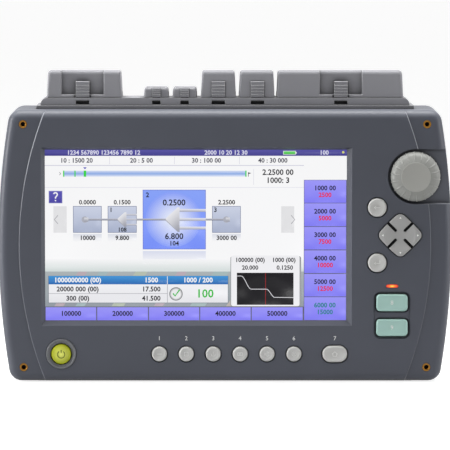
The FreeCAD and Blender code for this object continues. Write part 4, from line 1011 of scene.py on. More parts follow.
def arrowPad():
    # four petals joined in the middle: a sheet with a round dish, an edge round and slot walls, on a
    # near-black base that stands in for the shade at the foot of the slots, and an arrow on each petal
    s = padSet
    front, cx, cz = span("arrow_pad")[0][1], padAt[0], padAt[2]
    ball = (s["dishRadius"] ** 2 + s["dishDepth"] ** 2) / (2 * s["dishDepth"])

    def level(x, z):
        # a round dish cut by a ball, with a low brim round it that falls to the rim
        r = np.hypot(x - cx, z - cz)
        dish = s["dishDepth"] - ball + np.sqrt(np.maximum(ball ** 2 - r ** 2, 0))
        dish = np.where(r < s["dishRadius"], dish, 0)
        brim = 0.35 * smooth((r - s["dishRadius"]) / 4.2) + 0.1 * smooth((s["dishRadius"] + 0.35 - r) / 0.7)
        return front + dish + brim

    top = petalOutline(s["edge"] + s["shrink"])
    curves = []
    for r in s["rings"]:
        ring = circleOutline(cx, cz, r, 120)[0]
        keep = (slotGap(*ring.T) > s["edge"] + 0.3) & (padGap(-s["shrink"])(*ring.T) < -s["edge"] - 0.2)
        curves += [(ring, True)] if keep.all() else runsWhere(ring, keep)
    sheet = relief(top, curves, [], level)
    rows = []
    for t in np.linspace(0, math.pi / 2, 6):
        loop = petalOutline(s["edge"] * (1 - math.sin(t)) + s["shrink"])
        rows.append(np.stack([loop[:, 0], level(*top.T) + s["edge"] * (1 - math.cos(t)), loop[:, 1]], 1))
    rows.append(np.stack([rows[-1][:, 0], np.full(len(top), front + s["slotDepth"]), rows[-1][:, 2]], 1))
    floor = front + s["slotDepth"]
    under = relief(petalOutline(s["shrink"]), [], [], lambda x, z: np.full(len(x), floor))
    buildPiece("arrowPad", [sheet, gridSurface(np.stack(rows)), under], "arrow_pad", padGrey, ["arrow_pad"],
               sharp=35)
    base = carried(padOutline(), [-0.25, 0, 0], [floor + 0.03, floor + 0.28, front + s["back"]])
    ring = base[0].reshape(3, -1, 3)
    ends = [closedDome(ring[k], (cx, cz), 0.0, 1) for k in (0, -1)]
    buildPiece("padBase", [base] + ends, "arrow_pad", deepBlack)
    surfaces, tip = [], s["arrowSize"] * np.array([[1, 0], [-0.5, 0.9], [-0.5, -0.9]]) + [s["arrowAt"], 0]
    for turn in range(4):
        c, n = math.cos(turn * math.pi / 2), math.sin(turn * math.pi / 2)
        surfaces += plate(tip @ np.array([[c, n], [-n, c]]) + [cx, cz], front + 0.02, front + 0.5)
    buildPiece("padArrows", surfaces, "arrow_pad", whiteMark, weighted=False)


dialSet = {"disc": 8.7, "ridges": 18, "phase": 13.3, "ridgeRise": 0.22, "ridgeHalf": 2.4, "valley": 0.12,
           "steps": (-10, -7, -4.5, -3, -2.2, -1.5, -0.8, 0, 0.8, 1.5, 2.2, 3, 4.5, 7),
           "dish": 0.35, "faceTone": (171, 171, 166)}


def dialKnob():
    # a turned profile of (radius, depth) rows; every ridge is a narrow bell across the angle that lifts the
    # sloping shoulder and the side wall, and the face between two ridges is a shallow hollow
    s = dialSet
    low, high = span("dial")
    front, back, radius = low[1], high[1], (high[0] - low[0]) / 2
    steps = np.array(s["steps"])
    pitch = 360 / s["ridges"]
    angle = (np.arange(s["ridges"])[:, None] * pitch + s["phase"] + steps[None]).ravel()
    away = np.tile(steps, s["ridges"])
    bell = np.maximum(0, 1 - (away / s["ridgeHalf"]) ** 2) ** 2
    hollow = s["valley"] * np.cos(away / pitch * math.pi) ** 2 * (1 - bell)
    profile = np.array([[8.45, 0.0], [s["disc"], 0.04], [8.9, 0.13], [9.05, 0.2], [9.25, 0.24], [9.6, 0.34],
                        [10.6, 0.72], [11.8, 1.22], [12.9, 1.9], [13.7, 2.65], [14.3, 3.5], [14.62, 4.4],
                        [14.7, 5.2], [14.7, 7.2], [14.6, back - front]])
    lift = np.interp(profile[:, 0] + 0.001 * profile[:, 1], [9.2, 10.2, 14.9], [0, 1, 1])
    slope = np.gradient(profile[:, 1]) / np.hypot(np.gradient(profile[:, 0]), np.gradient(profile[:, 1]))
    grow = lift[:, None] * (s["ridgeRise"] * bell - hollow)[None]
    r = np.minimum(profile[:, :1] + grow * slope[:, None], radius)
    y = front + np.maximum(profile[:, 1:] - grow * (1 - slope[:, None] ** 2), 0.0)
    a = np.radians(angle)
    rows = np.stack([dialAt[0] + r * np.cos(a), y * np.ones_like(r), dialAt[2] + r * np.sin(a)], -1)
    skin = gridSurface(rows)
    dish = closedDome(rows[0], dialAt[[0, 2]], -s["dish"], 10)
    rear = closedDome(rows[-1], dialAt[[0, 2]], 0.0, 1)
    roundFace(dialGrey, dialAt, s["disc"] + 0.1, s["faceTone"])
    buildPiece("dialKnob", [skin, dish, rear], "dial", dialGrey, ["dial"], sharp=40,
               weighted=False)


def turnedRings(name, centers, profile, columns, finish, node):
    # a closed profile of (radius, depth) points turned about an axis along Y at each center
    radii, depths = np.array(profile).T
    surfaces = [carried(circleOutline(cx, cz, 0.0, columns), radii, depths) for cx, _, cz in centers]
    buildPiece(name, surfaces, "case", finish, [node], sharp=40)


def powerRing():
    # a rounded satin ring whose face falls in steps to the key
    low, high = span("power_ring")
    f, o, back = low[1], (high[0] - low[0]) / 2, high[1]
    profile = [(o, back), (o, f + 0.55), (o - 0.08, f + 0.3), (o - 0.3, f + 0.08), (o - 0.6, f),
               (o - 0.95, f + 0.06), (o - 1.25, f + 0.28), (o - 1.5, f + 0.55), (o - 1.9, f + 0.72),
               (o - 2.3, f + 0.8), (o - 2.5, f + 0.9), (o - 2.6, f + 1.15), (o - 2.6, back), (o, back)]
    turnedRings("powerRing", [middle("power_ring")], profile, 96, ringSatin, "power_ring")


def cornerInserts():
    # a brass sleeve: rounded face, countersunk mouth and thread crests down the bore
    low, high = span("corner_inserts")
    f, o, back = low[1], shellSet["insertHalf"], high[1]
    profile = [(o, back), (o, f + 0.2), (o - 0.06, f + 0.06), (o - 0.2, f), (1.85, f), (1.7, f + 0.05),
               (1.42, f + 0.3)]
    for k in range(12):
        y = f + 0.35 + 0.5 * k
        profile += [(1.42, y), (1.25, y + 0.25)]
    profile += [(1.3, y + 0.5), (1.5, y + 0.8), (1.5, back), (o, back)]
    turnedRings("cornerInserts", insertCenters(), profile, 40, brass, "corner_inserts")


def statusLamp():
    # a pill-shaped lens with a rounded edge and a low dome
    x0, x1, z0, z1 = capSpan("led_lens")
    front = span("led_lens")[0][1]
    center = ((x0 + x1) / 2, (z0 + z1) / 2)
    outline = boxOutline(x0, x1, z0, z1, (z1 - z0) / 2, 10)
    side = carried(outline, [0, 0, -0.1, -0.3], [panelFront + 2.4, front + 0.35, front + 0.2, front + 0.12])
    ring = side[0].reshape(4, -1, 3)
    lens = glowLens("amberGlow", np.array([center[0], front, center[1]]), (x1 - x0) / 2 + 0.3)
    top, rear = closedDome(ring[-1], center, 0.12, 4), closedDome(ring[0], center, 0.0, 1)
    buildPiece("statusLamp", [side, top, rear], "case", lens, ["led_lens"])


def arcLine(cx, cz, radius, start=0, end=360, columns=20):
    # points of an arc between two angles in degrees
    return turned(cx, cz, radius, np.radians(np.linspace(start, end, columns)))[0]


def powerMark():
    # an open ring and a bar laid on the power key's dome
    center, front = middle("power_key")[[0, 2]], span("power_key")[0][1]
    surfaces = []
    for line in (arcLine(0, -0.2, 2.15, 125, 415, 33), np.array([[0, -0.1], [0, 2.5]])):
        surfaces += plate(ribbonLoop(center + line, 0.5), front + 0.01, front + 0.25)
    buildPiece("powerMark", surfaces, "power_key", limeMark, weighted=False)


markSet = {"line": 0.34, "proud": 0.05, "figure": 3.5, "figureRise": 9.3, "depth": 0.74, "step": 0.004,
           "sunk": 0.35, "mintDepth": 0.17}
square = np.array([(-1, -1), (1, -1), (1, 1), (-1, 1), (-1, -1)])
spokes = [[(1.1 * math.cos(a), 1.1 * math.sin(a)), (1.6 * math.cos(a), 1.6 * math.sin(a))]
          for a in np.arange(8) * math.pi / 4]
# the lines of each key's sign about the key's center
signs = {
    "function_key_1": [[(-1.3, 0), (1.3, 0)]],
    "function_key_2": [square * 1.1, [(-0.5, 0), (0.5, 0)]],
    "function_key_3": [[(-1.1, 0.2), (-1.1, -1.1), (1.1, -1.1), (1.1, 0.2)], [(0, -0.5), (0, 1.4)]],
    "function_key_4": [square * [1.4, 0.9], arcLine(0, 0, 0.55)],
    "function_key_5": [arcLine(0, 0, 0.7)] + [arcLine(0, 0, 1.35, a, a + 80) for a in (20, 140, 260)],
    "function_key_6": [arcLine(0, 0, 0.65)] + spokes,
    "esc_key": [[(1.8, 0), (-1.7, 0)], [(-0.7, 1.0), (-1.8, 0), (-0.7, -1.0)]],
    "enter_key": [[(1.6, 1.4), (1.6, -0.3), (-1.6, -0.3)], [(-0.7, 0.6), (-1.7, -0.3), (-0.7, -1.2)]],
    "menu_key": [[(-1.7, -0.1), (0, 1.4), (1.7, -0.1)],
                 [(-1.1, 0.1), (-1.1, -1.3), (1.1, -1.3), (1.1, 0.1)]]}


def keyMark(node):
    # a sign is a few flat ribbons in the key's dish; a closed line is two ribbons
    level = span(node)[0][1] + markSet["depth"] * keyKinds[node][3]
    surfaces, strokes = [], []
    for line in signs[node]:
        cut = (len(line) + 1) // 2 if np.allclose(line[0], line[-1]) else len(line)
        strokes += [line[:cut], line[cut - 1:]] if cut < len(line) else [line]
    for n, stroke in enumerate(strokes):
        loop = ribbonLoop(middle(node)[[0, 2]] + np.asarray(stroke), markSet["line"])
        surfaces += plate(loop, level - markSet["step"] * n, level + markSet["sunk"])
    word = node.split("_")
    number = word[-1] if word[-1].isdigit() else ""
    buildPiece(word[0] + "KeyMark" + number, surfaces, node, whiteMark, weighted=False)


def figureMesh(text, size, offset=0.0, resolution=3, proud=0.0):
    # numerals of the built-in font as flat points, with Z off the page, and triangles
    curve = bpy.data.curves.new("figures", "FONT")
    curve.body, curve.size, curve.align_x, curve.align_y = text, size, "CENTER", "CENTER"
    curve.resolution_u, curve.offset, curve.extrude = resolution, offset, proud
    holder = addObject("figures", curve)
    bpy.context.view_layer.update()
    mesh = bpy.data.meshes.new_from_object(holder)
    mesh.calc_loop_triangles()
    flat = np.array([vertex.co for vertex in mesh.vertices])
    tris = np.array([triangle.vertices for triangle in mesh.loop_triangles])
    bpy.data.objects.remove(holder)
    return flat, tris


def keyNumeral(text, node, rise, front):
    # a closed plate that faces the front
    flat, tris = figureMesh(text, markSet["figure"], proud=markSet["proud"])
    spot = middle(node)
    verts = np.stack([spot[0] + flat[:, 0], front - flat[:, 2], spot[2] + rise + flat[:, 1]], 1)
    return verts, tris


def keyNumerals():
    # 1 to 7 on the case over the small keys, 8 and 9 on the mint keys
    surfaces = [keyNumeral(str(n + 1), node, markSet["figureRise"], panelFront)
                for n, node in enumerate(["function_key_%d" % n for n in range(1, 7)] + ["menu_key"])]
    buildPiece("keyNumerals", surfaces, "case", whiteMark, weighted=False)
    for node, name, text in (("realtime_key", "upper", "8"), ("start_key", "lower", "9")):
        surface = keyNumeral(text, node, 0, span(node)[0][1] + markSet["mintDepth"])
        buildPiece(name + "MintFigure", [surface], node, whiteMark, weighted=False)


for node in keyKinds:
    keyCap(node)
# the power key's lighter, yellower middle is a painted highlight that fades softly towards its rim
(_, _, low), (_, _, high) = span("power_key")
roundFace(lime, middle("power_key"), (high - low) / 2, keySet["glow"], soft=True)
arrowPad()
dialKnob()
powerRing()
cornerInserts()
statusLamp()
powerMark()
for node in signs:
    keyMark(node)
keyNumerals()
print("keys, pad and dial made")


# port covers, their hinge ears and their latches
coverSet = {"lift": 0.2, "behind": 2.5, "draft": 0.049, "brow": 2.6, "wall": 1.6, "frontWall": 4.3,
            "lip": 1.7, "sink": 2.3, "lean": 0.9, "slotDepth": 3.65, "slotGap": 0.1, "footGap": 1.0,
            "topFall": 1.1, "lipRound": 0.5, "slotRound": 0.12, "nickRound": 0.05, "earWidth": 2.4,
            "earRadius": 1.9,
            "topSteps": 10, "browSteps": 8, "lowBrow": 1.7, "fullHeight": 16.4, "fullLean": 0.4,
            "columnPitch": 1.4, "rowPitch": 0.9, "liningBrow": 0.8, "liningRound": 0.5, "earBevel": 0.25,
            "earRoot": 0.9, "nicks": (2.0, 4.0), "nickDrop": 0.75, "nickDepth": 1.1}
# recess width, latch height share, top corner radius at the left and at the right, for each cover
coverKinds = [(25.1, 0.6, 2.0, 1.1), (0, 0.93, 1.5, 1.5), (0, 0.93, 1.5, 1.5), (0, 0.6, 1.4, 1.5),
              (0, 0.6, 1.4, 1.5), (25.2, 0.6, 1.1, 2.2)]
hingeAt = middle("hinge_pins")


def edgeShare(inside, radius):
    # how deep a cut is at a distance inside its border: a quarter round lip, then a steep wall
    lip = radius - np.sqrt(np.maximum(radius ** 2 - np.clip(radius + inside, 0, radius) ** 2, 0))
    return np.where(inside <= 0, lip, radius + np.clip(inside / 0.04, 0, 1) * 99)


def capRows(c, columns, zFront, depthOf=None, sinkOf=None):
    # a path up the front, over the brow, along the top and down the rear, repeated across X; near each
    # side it is moved in along its normal by r (1 - sin a) while X runs in by r (1 - cos a); a sink sets the
    # front and the brow back, and fades out along the top
    s = coverSet
    front, rear, low, high, brow = c["front"], c["rear"], c["low"], c["high"], c["brow"]
    back = max(c["left"], c["right"]) + 0.2
    a = np.linspace(math.pi, math.pi / 2, s["browSteps"] + 1)[1:]
    b = np.linspace(math.pi / 2, 0, s["browSteps"] + 1)[1:]
    z1 = np.append(zFront, high - brow)
    y1 = front + c["lean"] * (z1 - low) / (high - low)
    y2, z2 = y1[-1] + brow + brow * np.cos(a), high - brow + brow * np.sin(a)
    y3 = np.linspace(y2[-1], rear - back, s["topSteps"] + 1)[1:]
    y4, z4 = rear - back + back * np.cos(b), high - back + back * np.sin(b)
    z5 = low + (z1[::-1][1:] - low) * (high - back - c["fall"] - low) / (high - brow - low)
    y = np.concatenate([y1, y2, y3, y4, np.full(len(z5), rear)])
    z3 = np.linspace(0, -c["fall"], s["topSteps"] + 1)[1:] + high
    z = np.concatenate([z1, z2, z3, z4 - c["fall"], z5])
    ny = np.concatenate([np.ones(len(y1)), -np.cos(a), np.zeros(len(y3)), -np.cos(b), -np.ones(len(z5))])
    nz = np.concatenate([np.zeros(len(y1)), -np.sin(a), -np.ones(len(y3)), -np.sin(b), np.zeros(len(z5))])
    tall = np.clip((z - low) / (high - low), 0, 1)
    inset = (c["draft"] * (z - low))[:, None]
    turn = np.linspace(0, math.pi / 2, 7)[None]
    rl, rr = (((0.6 + 0.4 * tall) * c[side])[:, None] for side in ("left", "right"))
    mid = np.broadcast_to(columns[None], (len(y), len(columns)))
    x = np.concatenate([c["x0"] + inset + rl * (1 - np.cos(turn)), mid,
                        (c["x1"] - inset - rr * (1 - np.cos(turn)))[:, ::-1]], 1)
    d = np.concatenate([rl * (1 - np.sin(turn)), np.zeros(mid.shape), (rr * (1 - np.sin(turn)))[:, ::-1]], 1)
    if depthOf:
        face = np.arange(len(y)) < len(y1) + len(y2) + 2
        d = d + np.where(face[:, None], depthOf(x, z[:, None] + 0 * x), 0.0)
    deepY = y[:, None] + ny[:, None] * d
    if sinkOf:
        fade = np.concatenate([np.ones(len(y1) + len(y2)), np.linspace(1, 0, len(y3) + 1)[1:],
                               np.zeros(len(y4) + len(z5))])
        deepY = deepY + fade[:, None] * sinkOf(x, z[:, None] + 0 * x)
    return np.stack([x, deepY, z[:, None] + nz[:, None] * d], -1), len(y1) + len(y2)


def capSurfaces(c, columns, zFront, depthOf=None, sinkOf=None):
    # the skin and its two side walls: row i of a wall runs straight from front row i to its rear partner,
    # shared out as the top run is; also the loop round the open bottom
    rows, faceRows = capRows(c, columns, zFront, depthOf, sinkOf)
    surfaces, borders = [gridSurface(rows, wrap=False)], []
    for column in (0, -1):
        rim = rows[:, column]
        ahead, top, behind = rim[:faceRows], rim[faceRows - 1:-(faceRows - 1)], rim[::-1][:faceRows]
        share = (top[:, 1] - top[0, 1]) / (top[-1, 1] - top[0, 1])
        side = ahead[:, None] + (behind - ahead)[:, None] * share[None, :, None]
        side[-1] = top
        surfaces.append(gridSurface(side, wrap=False))
        borders.append(side[0])
    bottom = np.concatenate([rows[0, :-1], borders[1][:-1], rows[-1, ::-1][:-1], borders[0][::-1][:-1]])
    return surfaces, bottom


def slabAlongX(loop, x0, x1):
    # a flat outline of Y and Z made into a closed slab from x0 to x1
    return [(verts[:, [1, 0, 2]], faces) for verts, faces in plate(loop, x0, x1)]


def bevelled(name, surfaces, node, finish, width, replaced=()):
    # a piece whose edges over 35 degrees are rounded in two steps
    piece = buildPiece(name, surfaces, node, finish, replaced, weighted=False)
    bevel = piece.modifiers.new("softEdges", "BEVEL")
    bevel.width, bevel.segments = width * milli, 2
    bevel.limit_method, bevel.angle_limit = "ANGLE", math.radians(35)
    bevel.harden_normals = True


def portCover(n):
    # an outer skin with its recess, slot and nicks, a lining with the same columns, and a rim between them
    s = coverSet
    node, latch = "cover_%d" % (n + 1), "latch_%d" % (n + 1)
    (x0, front, _), (x1, _, high) = span(node)
    recess, share, left, right = coverKinds[n]
    low, rear = hingeAt[2] + s["lift"], hingeAt[1] - s["behind"]
    tall, xc = high - low, middle(latch)[0]
    isLow = tall < 10
    half = (span(latch)[1][0] - span(latch)[0][0]) / 2 + s["slotGap"]
    widening = s["footGap"] - s["slotGap"] if recess else 0.0
    foot, slotTop, lipTop = half + widening, low + tall * share + s["slotGap"], low + s["lip"]

    def sinkOf(x, z):
        # the finger recess, open above its lip and a little deeper towards its foot, then the latch slot in
        # it, which is wider at its foot under a recess
        inside = np.minimum(recess / 2 - np.abs(x - xc), z - lipTop)
        deep = s["sink"] + s["lean"] * np.clip((high - z) / (high - lipTop), 0, 1)
        sunk = np.minimum(edgeShare(inside, s["lipRound"]), deep) if recess else 0.0
        wide = half + np.where(z < lipTop - 0.4, widening, 0.0)
        slot = edgeShare(np.minimum(wide - np.abs(x - xc), slotTop - z), s["slotRound"])
        return sunk + np.minimum(slot, s["slotDepth"] - sunk)

    def nickOf(x, z):
        # two grip nicks over the top edge of a low cover
        fromSide = np.minimum(x - x0, x1 - x)
        nick = np.minimum(fromSide - s["nicks"][0], s["nicks"][1] - fromSide)
        nick = np.minimum(nick, z - (high - s["nickDrop"]))
        return np.minimum(edgeShare(nick, s["nickRound"]), s["nickDepth"])

    steps = np.array([-1, -0.72, -0.4, -0.12, 0.0])
    lips, cuts = (np.append(steps * s[key], 0.05) for key in ("lipRound", "slotRound"))
    edges, levels = [xc - half + cuts, xc + half - cuts], [slotTop - cuts]
    if recess:
        edges += [xc - recess / 2 + lips, xc + recess / 2 - lips, xc - foot + cuts, xc + foot - cuts]
        levels += [lipTop + lips, [lipTop - 0.43, lipTop - 0.4]]
    if isLow:
        for at in s["nicks"]:
            edges += [x0 + at + np.array([-0.04, 0, 0.05]), x1 - at + np.array([-0.05, 0, 0.04])]
    first, last = x0 + 0.05 * tall + left + 0.1, x1 - 0.05 * tall - right - 0.1
    columns = np.concatenate(edges + [np.arange(first, last, s["columnPitch"]), [last]])
    columns = np.unique(np.round(columns, 3))
    columns = columns[(columns >= first) & (columns <= last)]
    brow = s["lowBrow"] if isLow else s["brow"]
    zFront = np.concatenate([np.arange(low, high - brow, s["rowPitch"])] + [np.ravel(v) for v in levels])
    zFront = np.unique(np.round(zFront, 3))
    zFront = zFront[(zFront >= low) & (zFront < high - brow - 0.02)]
    outer = {"x0": x0, "x1": x1, "front": front, "rear": rear, "low": low, "high": high, "brow": brow,
             "draft": s["draft"], "left": left, "right": right,
             "lean": s["fullLean"] * tall / s["fullHeight"], "fall": s["topFall"] * tall / s["fullHeight"]}
    skins, outerLoop = capSurfaces(outer, columns, zFront, nickOf if isLow else None, sinkOf)
    wall = s["wall"]
    inside = dict(outer, x0=x0 + wall, x1=x1 - wall, front=front + s["frontWall"], rear=rear - wall,
                  high=high - wall - outer["fall"], brow=s["liningBrow"], fall=0.0, lean=0.0,
                  left=s["liningRound"], right=s["liningRound"])
    innerColumns = np.interp(columns, [columns[0], xc - foot - 0.1, xc + foot + 0.1, columns[-1]],
                             [inside["x0"] + 1.6, xc - foot - 0.1, xc + foot + 0.1, inside["x1"] - 1.6])
    shrink = low + (zFront - low) * (inside["high"] - inside["brow"] - low) / (high - brow - low)
    linings, innerLoop = capSurfaces(inside, innerColumns, shrink)
    surfaces = skins + linings + [gridSurface(np.stack([outerLoop, innerLoop]))]
    buildPiece("portCover%d" % (n + 1), surfaces, node, railGrey, [node], sharp=50)
    hingeEars(n, node, x0, x1, low, rear)


def hingeEars(n, node, x0, x1, low, rear):
    # two plates from the cover's rear wall round the pin: a half circle of 13 points and a root in the wall
    s = coverSet
    y, z, r = hingeAt[1], hingeAt[2], s["earRadius"]
    half = turned(y, z, r, np.linspace(-math.pi / 2, math.pi / 2, 13))[0]
    root = rear - s["earRoot"]
    loop = np.concatenate([[[root, low], [rear + 0.5, low]], half, [[root, z + r + 0.7]]])
    surfaces = []
    for left in (x0, x1 - s["earWidth"]):
        surfaces += slabAlongX(loop, left, left + s["earWidth"])
    bevelled("hingeEars%d" % (n + 1), surfaces, node, railGrey, s["earBevel"])


latchSet = {"rise": 0.6, "inset": 0.3, "rib": 0.35, "ribHalf": 0.32, "behind": 0.4, "root": 0.5,
            "thick": 1.3, "padBevel": 0.16, "tongueBevel": 0.12, "firstRib": 2.7, "ribPitch": 1.85,
            "lowPitch": 1.35, "foot": 3.4, "nose": 0.5, "noseHeight": 1.3}


def coverLatch(n):
    # a thumb pad whose front carries rounded ribs, and a tongue below it with a nose at its foot, black as
    # painted shade
    s, c = latchSet, coverSet
    node = "latch_%d" % (n + 1)
    (x0, _, _), (x1, _, _) = span(node)
    (_, front, _), (_, _, high) = span("cover_%d" % (n + 1))
    low = hingeAt[2] + c["lift"]
    tall = high - low
    top = low + tall * coverKinds[n][1]
    drops = s["lowPitch"] * np.arange(1, 4)
    if tall > 10:
        drops = s["firstRib"] + s["ribPitch"] * np.arange(4)
    padFront, tongueFront = front - s["rise"], front + s["behind"] + s["nose"]
    a = np.linspace(-math.pi / 2, math.pi / 2, 7)
    ribs = [np.stack([padFront - s["rib"] * np.cos(a), top - drop + s["ribHalf"] * np.sin(a)], 1)
            for drop in drops[::-1]]
    cap = np.stack([padFront + 0.35 - 0.55 * np.cos(a[2:]), top - 0.45 + 0.45 * np.sin(a[2:])], 1)
    loop = np.concatenate([[[padFront, low + s["inset"]]]] + ribs + [[[padFront, top - 1.0]], cap,
                          [[tongueFront + s["root"], top], [tongueFront + s["root"], low + s["inset"]]]])
    bevelled("latchPad%d" % (n + 1), slabAlongX(loop, x0, x1), node, railGrey, s["padBevel"], [node])
    foot, gap = hingeAt[2] - s["foot"], s["inset"]
    nose, step, wide = tongueFront - s["nose"], low + gap + 0.1, foot + s["noseHeight"]
    root, behind = tongueFront + s["root"], tongueFront + s["thick"]
    tongue = np.array([[root, foot], [behind, foot], [behind, top - 0.2], [root - 0.05, top - 0.2],
                       [root - 0.05, step], [tongueFront, step], [tongueFront, wide], [nose, wide],
                       [nose, foot + s["noseHeight"] / 2]])
    # painted shade: the tongue is black to stand in for the shade of the pocket seen through the rail's
    # window
    bevelled("latchTongue%d" % (n + 1), slabAlongX(tongue, x0 + gap, x1 - gap), node, black,
             s["tongueBevel"])


for n in range(6):
    portCover(n)
    coverLatch(n)
print("port covers made")


# display: the lit picture, drawn in shares of the opening's width and height
slabStep = 0.012  # mm between two levels of the picture
pictureParts = []


def hue(*rgb):
    # a screen colour with full cover
    return np.array([*linear(*rgb), 1.0])


def pictureSpot(u, v):
    # low corner plus the share of each side
    x0, x1, z0, z1 = windowSpan()
    return np.stack([x0 + (x1 - x0) * np.asarray(u), z0 + (z1 - z0) * np.asarray(v)], -1)


def drawLoop(loop, level, colours):
    # a thin slab of any outline; colours are one colour, or one for each point of the outline
    surfaces = plate(loop, innerLevel - slabStep * level, innerLevel - slabStep * (level - 1))
    colours = np.broadcast_to(colours, (len(loop), 4))
    near = np.abs(surfaces[0][0][:, None, [0, 2]] - loop[None]).sum(2).argmin(1)
    pictureParts.append((surfaces, colours[near]))


def drawBox(u0, u1, v0, v1, level, low, high=None):
    # a rectangle, plain or shaded from its low colour to its high colour
    high = low if high is None else high
    drawLoop(pictureSpot([u0, u1, u1, u0], [v0, v0, v1, v1]), level, np.array([low, low, high, high]))


def drawFrame(u0, u1, v0, v1, level, edge, low, high=None, line=0.0018):
    # a shaded rectangle inside a thin border of another colour
    drawBox(u0, u1, v0, v1, level, edge)
    drawBox(u0 + line, u1 - line, v0 + line * 1.75, v1 - line * 1.75, level + 1, low, high)


def drawLine(points, width, level, colour):
    # a ribbon of a width in mm
    drawLoop(ribbonLoop(pictureSpot(*np.transpose(points)), width), level, colour)


def drawRound(u, v, radius, columns, level, colour):
    # a disc of a radius in mm
    drawLoop(circleOutline(*pictureSpot(u, v), radius, columns)[0], level, colour)


def drawFigures(text, u, v, size, level, colour):
    # plain numbers as flat letters from the built-in font, a little bolder than it draws them
    flat, tris = figureMesh(text, size * 1.16, 0.03 * min(size, 3.6), 2)
    at, depth = pictureSpot(u, v), np.full(len(flat), innerLevel - slabStep * level)
    verts = np.stack([at[0] + flat[:, 0], depth, at[1] + flat[:, 1]], 1)
    pictureParts.append(([(verts, tris)], np.broadcast_to(colour, (len(verts), 4))))


